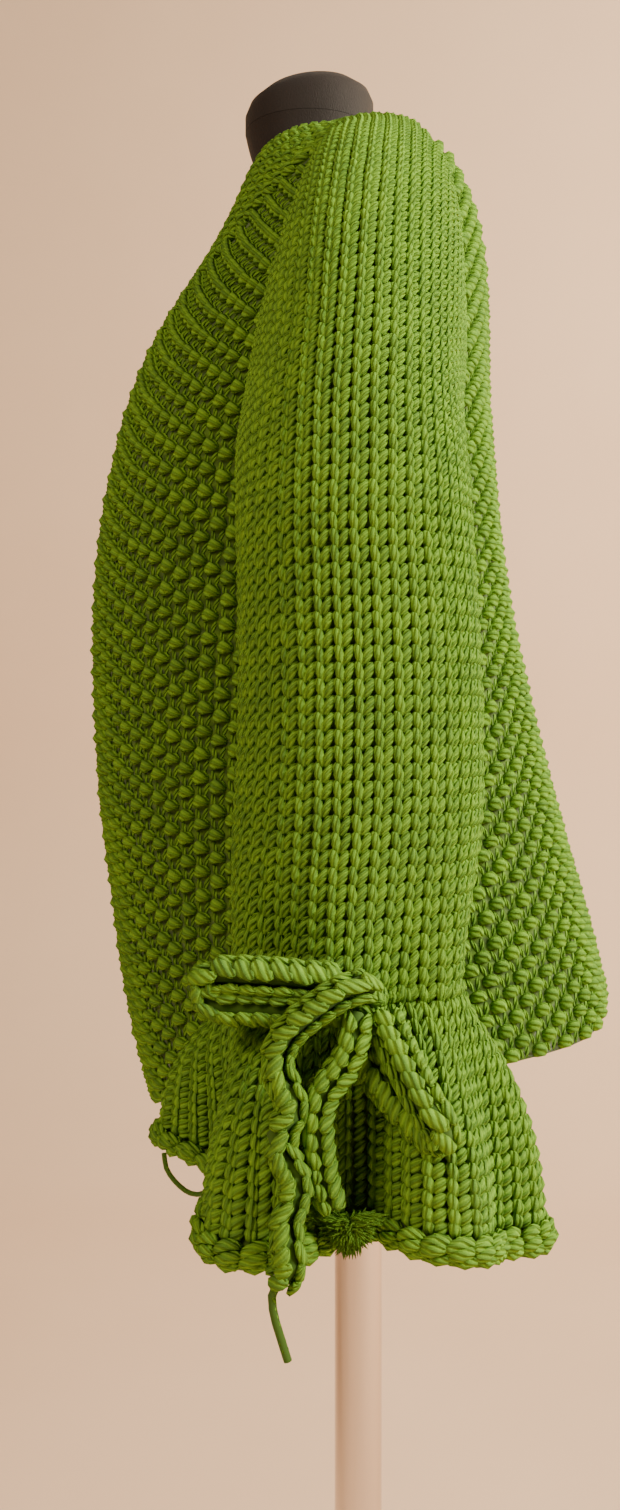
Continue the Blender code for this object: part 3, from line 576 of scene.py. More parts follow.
def band_side(front, back, sleeve_top):
    """Outer and inner grids of the band's left half, from the centre back to the front hem, seam to free edge."""
    half = BACK_STRIPS // 2
    seams = []
    for k in range(2):
        back_part = back[k][0, half::-1]
        seams.append(np.concatenate([back_part, sleeve_top[k][0, -2:0:-1], front[k][0, ::-1], front[k][1:, 0]]))
    seam, seam_inner = seams
    round_neck = half + SLEEVE_STRIPS + FRONT_STRIPS + NECK_ROWS
    lengths = distances(seam[: round_neck + 1])
    form_turn, form_rise, away = read(NECK_EDGE, lengths / lengths[-1])
    of_form = functools.partial(section, FORM)
    edge_out = np.zeros_like(seam)
    edge_out[: round_neck + 1] = unit(normals(of_form, form_turn, form_rise) * (1, 1, 0))
    edge = np.zeros_like(seam)
    edge[: round_neck + 1] = of_form(form_turn, form_rise) + edge_out[: round_neck + 1] * (WALL + away)[:, None]
    down = (seam[round_neck, 2] - seam[round_neck:, 2]) / (seam[round_neck, 2] - seam[-1, 2])
    rise = NECK_EDGE[-1, 2] + (HEM[0, 1] - NECK_EDGE[-1, 2]) * down
    x = OPENING + (OPENING_AT_HEM - OPENING) * down**2
    edge[round_neck:] = body(turn_beside(rise, x), rise)
    edge_out[round_neck:] = normals(body, turn_beside(rise, x), rise)
    edge_inner = edge - WALL * edge_out
    share = np.linspace(0, 1, BAND_STRIPS + 1)[None, :, None]
    outer = seam[:, None] + (edge - seam)[:, None] * share
    inner = seam_inner[:, None] + (edge_inner - seam_inner)[:, None] * share
    return outer, inner


def smooth_route(route, spacing):
    """Points about spacing apart on a smooth curve through the route."""
    route = np.array(route)
    keys = distances(route)
    count = max(3, round(keys[-1] / spacing))
    return points(*read(np.column_stack([keys, route]), np.linspace(0, keys[-1], count + 1)))


class Level:
    """A number that varies over a surface, with arithmetic."""

    def __init__(self, paint, socket):
        self.paint, self.socket = paint, socket

    def apply(self, operation, *others):
        node = self.paint.add("ShaderNodeMath", {"operation": operation}, dict(enumerate((self, *others))))
        return Level(self.paint, node.outputs[0])

    def __add__(self, other):
        return self.apply("ADD", other)

    def __mul__(self, other):
        return self.apply("MULTIPLY", other)

    def __sub__(self, other):
        return self.apply("SUBTRACT", other)

    def __rsub__(self, other):
        return self * -1 + other

    __radd__, __rmul__ = __add__, __mul__

    def wave(self):
        """From 0 to 1 and back for each whole number."""
        return (self * (2 * math.pi)).apply("SINE") * 0.5 + 0.5


class Paint:
    """A material with its node tree."""

    def __init__(self, name, colour, **constants):
        self.material = bpy.data.materials.new(name)
        self.material.use_nodes = True
        self.material.diffuse_color = (*colour, 1)
        self.nodes, self.links = self.material.node_tree.nodes, self.material.node_tree.links
        self.shader = self.nodes["Principled BSDF"]
        self.put(self.shader, {"Base Color": (*colour, 1)})
        self.put(self.shader, {socket.replace("_", " "): value for socket, value in constants.items()})

    def put(self, node, values):
        for socket, value in values.items():
            value = value.socket if isinstance(value, Level) else value
            if isinstance(value, bpy.types.NodeSocket):
                self.links.new(value, node.inputs[socket])
            else:
                node.inputs[socket].default_value = value

    def add(self, kind, settings=None, values=None):
        node = self.nodes.new(kind)
        for key, value in (settings or {}).items():
            setattr(node, key, value)
        self.put(node, values or {})
        return node

    def here(self):
        """Where a point lies on its piece."""
        return self.add("ShaderNodeTexCoord").outputs["Object"]

    def noise(self, scale, detail=2.0, stretch=None):
        where = self.here()
        if stretch:
            where = self.add("ShaderNodeMapping", None, {"Vector": where, "Scale": stretch}).outputs[0]
        node = self.add("ShaderNodeTexNoise", None, {"Vector": where, "Scale": scale, "Detail": detail})
        return Level(self, node.outputs["Fac"])

    def uv(self, name):
        split = self.add("ShaderNodeSeparateXYZ", None, {0: self.add("ShaderNodeUVMap", {"uv_map": name}).outputs[0]})
        return Level(self, split.outputs[0]), Level(self, split.outputs[1])

    def attribute(self, name):
        return Level(self, self.add("ShaderNodeAttribute", {"attribute_name": name}).outputs["Fac"])

    def mix(self, share, low, high):
        node = self.add("ShaderNodeMix", {"data_type": "RGBA"})
        self.put(node, {0: share, 6: low, 7: high})
        return node.outputs[2]

    def finish(self, colour=None, roughness=None, height=None, relief=0.001):
        if colour is not None:
            self.put(self.shader, {"Base Color": colour})
        if roughness is not None:
            self.put(self.shader, {"Roughness": roughness})
        if height is not None:
            bump = self.add("ShaderNodeBump", None, {"Height": height, "Distance": relief, "Strength": 1.0})
            self.put(self.shader, {"Normal": bump.outputs[0]})
        return self.material


def yarn_material():
    """Plied wool with the plies slanting round it, fuzzy, each length a slightly different green, with painted shade
    in the grooves between the plies.
    """
    paint = Paint("wool_yarn", (0.19, 0.42, 0.03), Roughness=0.85, Specular_IOR_Level=0.02)
    around, along = paint.uv("yarn")
    ply = (around * 5 + along * 2.2).wave()
    fibre = paint.noise(1500, 3)
    patch = paint.noise(14, 2)
    # The ply wave raises the bump and also darkens the colour in the grooves between plies, which is painted shade;
    # the per-length attribute, the patches and the fibres vary the green at random.
    tone = paint.attribute("shade") * 0.34 + ply * 0.50 + patch * 0.26 + (fibre - 0.5) * 0.6
    colour = paint.mix(tone, (0.090, 0.205, 0.045, 1), (0.245, 0.500, 0.042, 1))
    return paint.finish(colour, None, ply + fibre * 0.5, 0.0017)


def backing_shade_material():
    """What shows between stitches and on the wrong side of the knitting, painted dark as the shade there."""
    # Dark greens far below the yarn's own: painted shade where the cloth shows between and behind the stitches,
    # banded darker between the purl rows.
    paint = Paint("knit_backing_painted_shade", (0.045, 0.105, 0.006), Roughness=0.95, Sheen_Weight=0.2)
    split = paint.add("ShaderNodeSeparateXYZ", None, {0: paint.here()})
    height = Level(paint, split.outputs[2])
    wobble = paint.noise(90, 1)
    rows = (height * (1 / STITCH_HEIGHT) + wobble * 1.2).wave()
    bumps = paint.noise(170, 2)
    tone = rows * 0.5 + bumps * 0.6 - 0.1
    colour = paint.mix(tone, (0.020, 0.050, 0.003, 1), (0.110, 0.230, 0.014, 1))
    return paint.finish(colour, None, rows * 0.7 + bumps * 0.8, 0.0022)


def core_material():
    """The yarn in the shade between a cord's stitches."""
    return Paint("cord_core", (0.050, 0.120, 0.010), Roughness=0.95).finish()


def form_material():
    paint = Paint("form_jersey", (0.010, 0.006, 0.005), Roughness=0.85, Sheen_Weight=0.04, Sheen_Roughness=0.5)
    weave = paint.noise(1400, 1, (1, 1, 0.35))
    soft = paint.noise(12, 2)
    colour = paint.mix(weave * 0.6 + soft * 0.4, (0.004, 0.0025, 0.002, 1), (0.017, 0.010, 0.007, 1))
    return paint.finish(colour, soft * 0.15 + 0.72, weave, 0.0004)


def chrome_material():
    # The warm tint of the base colour is partly the metal's own and partly painted reflection of the warm room around
    # it.
    paint = Paint("chrome", (0.70, 0.60, 0.53), Metallic=1.0)
    smudge = paint.noise(22, 3)
    brushed = paint.noise(240, 1, (1, 1, 0.02))
    return paint.finish(None, smudge * 0.06 + brushed * 0.04 + 0.03, brushed * 0.1, 0.0002)


def stage_material():
    paint = Paint("pale_backdrop", (0.83, 0.61, 0.43), Roughness=0.9)
    grain = paint.noise(3, 3)
    return paint.finish(paint.mix(grain, (0.795, 0.58, 0.405, 1), (0.86, 0.64, 0.455, 1)))


def place(name, data):
    """A new object in the scene."""
    made = bpy.data.objects.new(name, data)
    bpy.context.scene.collection.objects.link(made)
    return made


def link(name, mesh, look, node_names=()):
    """The mesh as a piece on the root body, standing for CAD nodes if any are named."""
    piece = place(name, mesh)
    mesh.materials.append(look)
    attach(piece, "root")
    if node_names:
        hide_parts(*node_names)
    return piece


class Knitting:
    """Knitted cloth on a surface: points by half rows upward and by columns to the right, seen from outside."""

    def __init__(self, table, first, low, high):
        self.table, self.first, self.low, self.high = table, first, low, high
        right, up = np.gradient(table, axis=1), np.gradient(table, axis=0)
        self.outward = unit(np.cross(right, up))
        self.rows = (len(table) - 1) // 2

    def mirrored(self):
        last = self.first + (self.table.shape[1] - 1) / 4
        return Knitting(mirrored(self.table[:, ::-1]), -last, -self.high, -self.low)

    def look_up(self, table, row, column):
        down = np.clip(2 * row, 0, len(table) - 1.001)
        across = np.clip((column - self.first) * 4, 0, table.shape[1] - 1.001)
        i, j = down.astype(int), across.astype(int)
        s, t = (down - i)[:, None], (across - j)[:, None]
        low = table[i, j] * (1 - t) + table[i, j + 1] * t
        high = table[i + 1, j] * (1 - t) + table[i + 1, j + 1] * t
        return low * (1 - s) + high * s

    def at(self, row, column):
        return self.look_up(self.table, row, column)

    def facing(self, row, column):
        return unit(self.look_up(self.outward, row, column))

    def widths(self, row, column):
        """How wide the stitches come out there."""
        return np.linalg.norm(self.at(row + 0.5, column + 0.4) - self.at(row + 0.5, column - 0.4), axis=1) / 0.8

    def cells(self, start=0, margin=0.5):
        """Row and column of every whole stitch between the edges; start moves the columns by a share of one."""
        rows, columns = [], []
        for i in range(self.rows):
            low, high = self.low[2 * i + 1] + margin, self.high[2 * i + 1] - margin
            k = np.arange(math.ceil(low - start), math.floor(high - start) + 1) + start
            rows.append(np.full(len(k), float(i)))
            columns.append(k)
        return np.concatenate(rows), np.concatenate(columns)


def lay_out(dense, zero, height, width=None, columns=None, limits=None):
    """Knitting over a fine grid of points, bottom row first, its columns counted from the grid's column zero."""
    line = distances(dense[:, zero, :3])
    rows = round(line[-1] / height)
    wanted = np.linspace(0, line[-1], 2 * rows + 1)
    spread = np.empty((len(wanted), *dense.shape[1:]))
    for j in range(dense.shape[1]):
        for k in range(dense.shape[2]):
            spread[:, j, k] = np.interp(wanted, line, dense[:, j, k])
    steps = np.linalg.norm(np.diff(spread[..., :3], axis=1), axis=2)
    arc = np.concatenate([np.zeros((len(wanted), 1)), np.cumsum(steps, axis=1)], axis=1)
    arc -= arc[:, zero : zero + 1]
    unit_width = np.full(len(wanted), width) if width else (arc[:, -1] - arc[:, 0]) / columns
    arc /= unit_width[:, None]
    low, high = limits(spread, arc) if limits else (arc[:, 0], arc[:, -1])
    first, last = math.floor(arc.min()) - 1, math.ceil(arc.max()) + 1
    marks = np.arange(first * 4, last * 4 + 1) / 4
    table = np.empty((len(wanted), len(marks), 3))
    for r in range(len(wanted)):
        a, p = arc[r], spread[r, :, :3]
        before = p[0] + (p[0] - p[1]) / (a[1] - a[0]) * 3
        after = p[-1] + (p[-1] - p[-2]) / (a[-1] - a[-2]) * 3
        a = np.concatenate([[a[0] - 3], a, [a[-1] + 3]])
        p = np.concatenate([[before], p, [after]])
        for k in range(3):
            table[r, :, k] = np.interp(marks, a, p[:, k])
    return Knitting(table, float(first), low, high)


def crossing(spread, arc, seam_rise, seam_turn, side):
    """Where a seam crosses each half row, in columns. A row that the seam doesn't reach gets no width."""
    found = []
    for r in range(len(arc)):
        rise, turn = spread[r, :, 2] - ELBOW_HEIGHT, spread[r, :, 3]
        away = turn - np.interp(rise, seam_rise, seam_turn)
        where = np.nonzero((away[:-1] <= 0) & (away[1:] > 0))[0]
        outside = rise.min() > seam_rise[-1]
        if outside or not len(where):
            found.append(1e3 if side == "low" else -1e3)
            continue
        j = where[0]
        t = -away[j] / (away[j + 1] - away[j])
        found.append(arc[r, j] * (1 - t) + arc[r, j + 1] * t)
    return np.array(found)


def body_rows(turns):
    """A fine grid over the body between turns: level at the neck and following the hem at the bottom."""
    rise = np.linspace(0, 1, 260)[:, None] * np.ones(len(turns))
    hem = read(HEM, 1 - np.abs(1 - turns))[0]
    top = BODY[-1, 0] - 0.002
    rise = hem + (top - hem) * rise
    turn = np.broadcast_to(turns, rise.shape)
    return np.concatenate([body(turn, rise), turn[..., None]], axis=-1)


def edge_seam(side):
    """Rise and turn of the raglan and side seams of the front, side 0, or the back, 1, from the hem up."""
    turn, rise = raglan(np.linspace(0, YOKE[-1, 0], 60), side)
    rise, turn = rise[::-1], turn[::-1]
    below = np.linspace(0, 1, 20)[:-1]
    past_hem = SIDE_SEAM_FOOT - 0.06
    side_rise = past_hem + (rise[0] - past_hem) * below
    side_turn = SIDE_SEAM_TURN + (turn[0] - SIDE_SEAM_TURN) * below
    return np.concatenate([side_rise, rise]), np.concatenate([side_turn, turn])


def front_knitting():
    def limits(spread, arc):
        turn, rise = band_seam_front(YOKE_ROWS + SIDE_ROWS + 1)
        order = np.argsort(rise)
        low = crossing(spread, arc, rise[order], turn[order], "low")
        rise, turn = edge_seam(0)
        return low, crossing(spread, arc, rise, turn, "high")

    return lay_out(body_rows(np.linspace(0.0, 0.64, 90)), 0, MOSS_HEIGHT, MOSS_WIDTH, limits=limits)


def back_knitting():
    turns = np.linspace(0.36, 1.64, 181)

    def limits(spread, arc):
        rise, turn = edge_seam(1)
        low = crossing(spread, arc, rise, turn, "low")
        return low, -low

    return lay_out(body_rows(turns), 90, MOSS_HEIGHT, MOSS_WIDTH, limits=limits)


def sleeve_knitting():
    sweep = np.linspace(-1, 1, 97)
    rise = np.linspace(SLEEVE[0, 0] - STITCH_HEIGHT, SLEEVE[-1, 0], 90)[:, None] + 0 * sweep
    row = np.linspace(YOKE[-1, 0], 0, 120)[1:, None] + 0 * sweep
    dense = np.concatenate([sleeve(rise, sweep + 0 * rise), yoke(row, sweep + 0 * row)])
    return lay_out(dense, 48, STITCH_HEIGHT, STITCH_WIDTH)


def cuff_knitting():
    angle = np.linspace(-np.pi, np.pi, 193)
    down = np.linspace(0.89, 0.0, 60)[:, None] + 0 * angle
    above = SLEEVE[0, 0] + np.linspace(0, 0.009, 7)[1:, None] + 0 * angle
    dense = np.concatenate([cuff(down, angle + 0 * down), sleeve(above, angle / np.pi + 0 * above)])
    return lay_out(dense, 96, STITCH_HEIGHT * 0.8, columns=CUFF_COLUMNS)


def roll_knitting():
    """The cuff's rolled edge, rows running round the roll from inside it over the outside to its top."""
    angle = np.linspace(-np.pi, np.pi, 193)
    middle = cuff(0.93 + 0 * angle, angle)
    outward = normals(cuff, 0.93 + 0 * angle, angle)
    upward = unit(cuff(0.89 + 0 * angle, angle) - cuff(0.97 + 0 * angle, angle))
    high = np.linalg.norm(cuff(0.86 + 0 * angle, angle) - cuff(1.0 + 0 * angle, angle), axis=-1) / 2
    round_roll = np.radians(np.linspace(-215, 80, 60))[:, None]
    side = np.cos(round_roll)[..., None] * outward * ROLL_RADIUS
    level = np.sin(round_roll)[..., None] * upward * high[:, None]
    dense = middle + outward * 0.0008 + side + level
    return lay_out(dense, 96, STITCH_HEIGHT * 0.85, columns=CUFF_COLUMNS)


def band_knitting(outer):
    dense = outer[::-1, ::-1]
    share = np.linspace(0, dense.shape[1] - 1, 9)
    low = np.minimum(share.astype(int), dense.shape[1] - 2)
    part = (share - low)[None, :, None]
    dense = dense[:, low] * (1 - part) + dense[:, low + 1] * part
    return lay_out(dense, 4, STITCH_HEIGHT, columns=BAND_COLUMNS)


def ribbon(line, outward, width, columns):
    """A strip along a line of points, for the stitches that run along a seam."""
    along = unit(np.gradient(line, axis=0))
    right = unit(np.cross(along, outward))
    offsets = np.linspace(-0.5, 0.5, 5)[None, :, None]
    return lay_out(line[:, None] + right[:, None] * offsets * width, 2, STITCH_HEIGHT, columns=columns)


def grain_template(segments, rings, taper=0.0):
    """One length of yarn, a ball to be drawn out: its vertices, each face's corners and their UVs."""
    work = bmesh.new()
    layer = work.loops.layers.uv.new("yarn")
    bmesh.ops.create_uvsphere(work, u_segments=segments, v_segments=rings, radius=1.0, calc_uvs=True)
    work.verts.index_update()
    vertices = np.array([v.co for v in work.verts])
    faces = [[loop.vert.index for loop in face.loops] for face in work.faces]
    uvs = [[tuple(loop[layer].uv) for loop in face.loops] for face in work.faces]
    work.free()
    width = np.maximum(np.hypot(vertices[:, 0], vertices[:, 1]), 1e-9)
    vertices[:, :2] *= (width ** -0.35 * (width > 1e-6) * (1 + taper * vertices[:, 2]))[:, None]
    return vertices, faces, uvs


LEG = grain_template(6, 4, 0.10)
EVEN = grain_template(6, 4)


class Yarn:
    """Collects lengths of yarn and makes them one mesh."""

    def __init__(self):
        self.lots = []

    def lay(self, template, start, end, outward, width, depth, lift, tuck, bow=0.0, head=None):
        """Lengths from start to end: half width and depth, lift of the middle, start and head, and bow."""
        vertices = template[0]
        count = len(start)
        along = end - start
        length = np.linalg.norm(along, axis=1)
        side = unit(np.cross(unit(along), outward))
        t = vertices[:, 2]
        head = tuck if head is None else head
        sizes = (width, depth, lift, tuck, bow, head)
        width, depth, lift, tuck, bow, head = (np.broadcast_to(x, count)[:, None, None] for x in sizes)
        arch = (1 - t**2)[None, :, None]
        share = ((t + 1) / 2)[None, :, None]
        level = tuck + (head - tuck) * share
        line = start[:, None] + along[:, None] * share
        line = line + outward[:, None] * (level + (lift - (tuck + head) / 2) * arch) + side[:, None] * bow * arch
        ring = side[:, None] * vertices[None, :, :1] * width + outward[:, None] * vertices[None, :, 1:2] * depth
        shade = np.repeat(random.random(count), len(vertices))
        self.lots.append((template, (line + ring).reshape(-1, 3), length, shade))

    def mesh(self, name):
        mesh = bpy.data.meshes.new(name)
        points_of, corners, starts, uvs, shades = [], [], [], [], []
        base = first = 0
        for (vertices, faces, face_uvs), placed, length, shade in self.lots:
            count, sizes = len(length), np.array([len(f) for f in faces])
            flat = np.concatenate([np.array(f) for f in faces])
            corner = flat[None] + (np.arange(count) * len(vertices))[:, None] + base
            start = np.concatenate([[0], np.cumsum(sizes)[:-1]])[None]
            start = start + (np.arange(count) * len(flat))[:, None] + first
            uv = np.concatenate([np.array(f) for f in face_uvs])
            along = uv[:, 1] * length[:, None] / UV_LENGTH
            uv = np.stack([np.broadcast_to(uv[:, 0], (count, len(flat))), along], -1)
            points_of.append(placed)
            corners.append(corner.ravel())
            starts.append(start.ravel())
            uvs.append(uv.reshape(-1, 2))
            shades.append(shade)
            base += len(placed)
            first += corner.size
        points_of, corners, starts = (np.concatenate(x) for x in (points_of, corners, starts))
        mesh.vertices.add(len(points_of))
        mesh.vertices.foreach_set("co", points_of.astype(np.float32).ravel())
        mesh.loops.add(len(corners))
        mesh.loops.foreach_set("vertex_index", corners.astype(np.int32))
        mesh.polygons.add(len(starts))
        mesh.polygons.foreach_set("loop_start", starts.astype(np.int32))
        mesh.update(calc_edges=True)
        mesh.uv_layers.new(name="yarn").data.foreach_set("uv", np.concatenate(uvs).astype(np.float32).ravel())
        attribute = mesh.attributes.new("shade", "FLOAT", "POINT")
        attribute.data.foreach_set("value", np.concatenate(shades).astype(np.float32))
        mesh.shade_smooth()
        return mesh


def add_stitches(name, yarn, node_names=()):
    return link(name, yarn.mesh(name), YARN, node_names)


def uneven(count, amount):
    """Factors a little over and under 1, one for each stitch."""
    return 1 + amount * random.uniform(-1, 1, count)


def knit_smooth(yarn, cloth, row, column, size=1.0, lift=-0.0028):
    """Smooth knitting: a steep leg that reads as part of a rope, and a slanted one that reads as a grain."""
    count = len(row)
    size = size * np.clip(cloth.widths(row, column) / STITCH_WIDTH, 0.5, 1.25) ** 0.8
    slip = random.uniform(-0.04, 0.04, (4, count))
    outward = cloth.facing(row + 0.5, column - 0.2)
    foot = cloth.at(row - 0.34 + slip[0], column - 0.07 + slip[1])
    head = cloth.at(row + 1.22 + slip[0], column - 0.38 + slip[2])
    wide = ROPE_WIDE * size * uneven(count, 0.09)
    yarn.lay(EVEN, foot, head, outward, wide, SMOOTH_DEEP * size, lift + 0.0003, lift - 0.0026, 0.0, lift - 0.0010)
    outward = cloth.facing(row + 0.5, column + 0.25)
    foot = cloth.at(row - 0.26 + slip[3], column + 0.00 + slip[1])
    head = cloth.at(row + 1.14 + slip[3], column + 0.45 + slip[2])
    wide = SLANT_WIDE * size * uneven(count, 0.10)
    yarn.lay(LEG, foot, head, outward, wide, SMOOTH_DEEP * size, lift, lift - 0.0026, -0.0003, lift - 0.0024)


def knit_moss(yarn, cloth, row, column):
    """Moss stitch: fat bumps on every other stitch, and between them the sunk legs of the others."""
    bump = np.round(row + column) % 2 == 0
    r, c = row[bump], column[bump]
    count = len(r)
    slip = random.uniform(-0.06, 0.06, (3, count))
    outward = cloth.facing(r + 0.5, c)
    start = cloth.at(r + 0.36 + slip[0], c - 0.52 + slip[1])
    end = cloth.at(r + 0.46 + slip[0], c + 0.52 + slip[1])
    wide = BUMP_WIDE * uneven(count, 0.12)
    yarn.lay(EVEN, start, end, outward, wide, BUMP_DEEP * uneven(count, 0.1), -0.0019, -0.0066, -0.0016)
    r, c = row[~bump], column[~bump]
    count = len(r)
    slip = random.uniform(-0.05, 0.05, (2, count))
    outward = cloth.facing(r + 0.5, c)
    for way in (-1, 1):
        foot = cloth.at(r - 0.25 + slip[0], c + 0.08 * way + slip[1])
        head = cloth.at(r + 1.15 + slip[0], c + 0.36 * way + slip[1])
        yarn.lay(LEG, foot, head, outward, SUNK_WIDE * uneven(count, 0.1), SUNK_DEEP, -0.0056, -0.0068)


def knit_purl(yarn, cloth, row, column):
    """The wrong side of smooth knitting: close rows of small arcs."""
    count = len(row)
    size = np.clip(cloth.widths(row, column) / STITCH_WIDTH, 0.6, 1.3)
    slip = random.uniform(-0.08, 0.08, (2, count))
    outward = cloth.facing(row + 0.5, column)
    start = cloth.at(row + 0.10 + slip[0], column - 0.58 + slip[1])
    end = cloth.at(row + 0.80 + slip[0], column + 0.52 + slip[1])
    yarn.lay(EVEN, start, end, outward, PURL_WIDE * size**0.5, PURL_DEEP, -0.0020, -0.0052, -0.0010)


def backing(name, outer, inner, node, closed_from=None):
    """The thin cloth behind the stitches, on its CAD solid's form, painted dark as the shade between stitches."""
    near, far = (outer + (inner - outer) * share for share in BACKING_DEPTHS)
    rows, columns = outer.shape[:2]
    work = bmesh.new()
    sides = []
    for grid in (near, far):
        side = {}
        for i in range(rows):
            for j in range(columns):
                joined = closed_from is not None and i >= closed_from and j == columns - 1
                side[i, j] = side[i, 0] if joined else work.verts.new(grid[i, j])
        sides.append(side)
    for side, flip in ((sides[0], False), (sides[1], True)):
        for i in range(rows - 1):
            for j in range(columns - 1):
                corners = list(dict.fromkeys((side[i, j], side[i + 1, j], side[i + 1, j + 1], side[i, j + 1])))
                work.faces.new(corners[::-1] if flip else corners)
    partner = {sides[0][key]: sides[1][key] for key in sides[0]}
    for edge in [e for e in work.edges if e.is_boundary and all(v in partner for v in e.verts)]:
        a, b = edge.verts
        work.faces.new((a, b, partner[b], partner[a]))
    bmesh.ops.recalc_face_normals(work, faces=work.faces)
    mesh = bpy.data.meshes.new(name)
    work.to_mesh(mesh)
    work.free()
    mesh.shade_smooth()
    return link(name, mesh, BACKING, (node,))


def tube_frame(path):
    """Directions across a path that don't twist along it."""
    along = unit(np.gradient(path, axis=0))
    side = np.empty_like(path)
    current = unit(np.cross(along[0], (0.3, 0.2, 0.93)))
    for i, direction in enumerate(along):
        current = unit(current - direction * np.dot(current, direction))
        side[i] = current
    return side, np.cross(along, side)


def cord_knitting(path, radius, height=0.0088):
    side, other = tube_frame(path)
    angle = np.linspace(0.5 * np.pi, 2.5 * np.pi, 17)
    around = np.cos(angle)[:, None] * side[:, None] - np.sin(angle)[:, None] * other[:, None]
    dense = path[:, None] + radius * around
    return lay_out(dense, 8, height, columns=CORD_COLUMNS)


def knit_cord(yarn, path, radius):
    """Stitches round a knitted cord, seen as short slanted ropes."""
    cloth = cord_knitting(path, radius)
    row, column = cloth.cells(start=0.5, margin=0.45)
    count = len(row)
    thick = radius * 0.52
    slip = random.uniform(-0.05, 0.05, (2, count))
    for way, span in ((-1, 1.50), (1, 1.45)):
        outward = cloth.facing(row + 0.6, column + 0.30 * way)
        foot = cloth.at(row - 0.2 + slip[0], column + 0.04 * way + slip[1])
        head = cloth.at(row - 0.2 + span + slip[0], column + 0.46 * way + slip[1])
        wide = radius * 0.82 * uneven(count, 0.08)
        yarn.lay(LEG, foot, head, outward, wide, thick, -thick, -thick * 1.3, 0.0, -thick * 1.1)


def twist_yarn(yarn, path, radius):
    """A single yarn of three plies wound round each other, each ply laid as overlapping lengths."""
    side, other = tube_frame(path)
    line = distances(path)
    table = np.column_stack([line, path, side, other])
    lead = 5.0 * radius
    for ply in range(3):
        ends = []
        start = np.arange(0, line[-1] - 0.6 * lead, 0.3 * lead)
        for at in (start, start + 0.6 * lead):
            found = read(table, at).T
            angle = 2 * np.pi * (at / lead + ply / 3)[:, None]
            away = np.cos(angle) * found[:, 3:6] + np.sin(angle) * found[:, 6:9]
            ends.append((found[:, :3], away))
        outward = unit(ends[0][1] + ends[1][1])
        foot, head = (point + 0.40 * radius * away for point, away in ends)
        yarn.lay(LEG, foot, head, outward, 0.42 * radius, 0.42 * radius, 0.25 * radius, 0.0)


def add_drawstrings(side, word):
    for name, (radius, route) in CORD_ROUTES.items():
        path = smooth_route(route, 2.2 * radius) * (side, 1, 1)
        along = distances(path)
        knitted = not name.startswith("yarn")
        core_share, stated_share = CORE_SHARES[knitted]
        curve = bpy.data.curves.new(f"{name}_core_{word}", "CURVE")
        curve.dimensions = "3D"
        curve.bevel_depth = radius * core_share
        curve.bevel_resolution = 3
        curve.use_fill_caps = True
        spline = curve.splines.new("POLY")
        spline.points.add(len(path) - 1)
        spline.points.foreach_set("co", np.column_stack([path, np.ones(len(path))]).ravel())
        core = link(f"{name}_core_{word}", curve, CORE, (f"{name}_{word}",))
        yarn = Yarn()
        fine = read(np.column_stack([along, path]), np.linspace(0, along[-1], 8 * len(path))).T
        (knit_cord if knitted else twist_yarn)(yarn, fine, radius)
        stitches = add_stitches(f"{name}_stitches_{word}", yarn)
    add_knot(side, word)
    add_tuft(side, word)


def add_knot(side, word):
    """The bow's knot: two wraps of the knitted cord."""
    yarn = Yarn()
    centre = points(side * KNOT_CENTRE[0], KNOT_CENTRE[1], KNOT_CENTRE[2])
    for tilt, start in ((0.5, 0.4), (-0.9, 2.0)):
        angle = np.linspace(start, start + 2 * np.pi * 0.98, 60)
        x = WRAP_HALF_DEPTH * np.cos(angle)
        across = WRAP_HALF_WIDTH * np.sin(angle)
        path = centre + np.stack([side * x, across * np.sin(tilt), across * np.cos(tilt)], -1)
        knit_cord(yarn, path, TAIL_RADIUS)
    add_stitches(f"bow_knot_wraps_{word}", yarn, (f"bow_knot_{word}",))


def add_tuft(side, word):
    """The brush of cut yarn at the end of the short tail."""
    yarn = Yarn()
    count = TUFT_STRANDS
    centre = points(side * TUFT_CENTRE[0], TUFT_CENTRE[1], TUFT_CENTRE[2] + 0.006)
    angle, lean = random.uniform(0, 2 * np.pi, count), np.sqrt(random.uniform(0, 1, count))
    down = 0.25 - 1.25 * (1 - lean**2)
    direction = np.stack([side * lean * np.cos(angle) * 0.8, lean * np.sin(angle) * 1.15, down], -1)
    start = centre + direction * 0.001
    end = centre + direction * np.array(TUFT_REACH) * uneven(count, 0.28)[:, None]
    outward = unit(np.cross(direction, random.normal(size=(count, 3))))
    bow = random.uniform(-0.0025, 0.0025, count)
    yarn.lay(LEG, start, end, outward, STRAND_RADIUS, STRAND_RADIUS, 0.0, 0.0, bow)
    add_stitches(f"tuft_strands_{word}", yarn, (f"tail_tuft_{word}",))


def loft(name, rings, look, node):
    """A closed body through rings of points."""
    work = bmesh.new()
    loops = []
    for ring in rings:
        vertices = [work.verts.new(p) for p in ring]
        loops.append([work.edges.new(pair) for pair in zip(vertices, vertices[1:] + vertices[:1])])
    for low, high in zip(loops, loops[1:]):
        bmesh.ops.bridge_loops(work, edges=low + high)
    bmesh.ops.holes_fill(work, edges=loops[0] + loops[-1], sides=0)
    bmesh.ops.recalc_face_normals(work, faces=work.faces)
    mesh = bpy.data.meshes.new(name)
    work.to_mesh(mesh)
    work.free()
    mesh.shade_smooth()
    mesh.set_sharp_from_angle(angle=math.radians(40))
    return link(name, mesh, look, (node,))


def circle(radius, height, sides=96):
    angle = np.arange(sides) * 2 * np.pi / sides
    return points(radius * np.cos(angle), radius * np.sin(angle), height - ELBOW_HEIGHT)


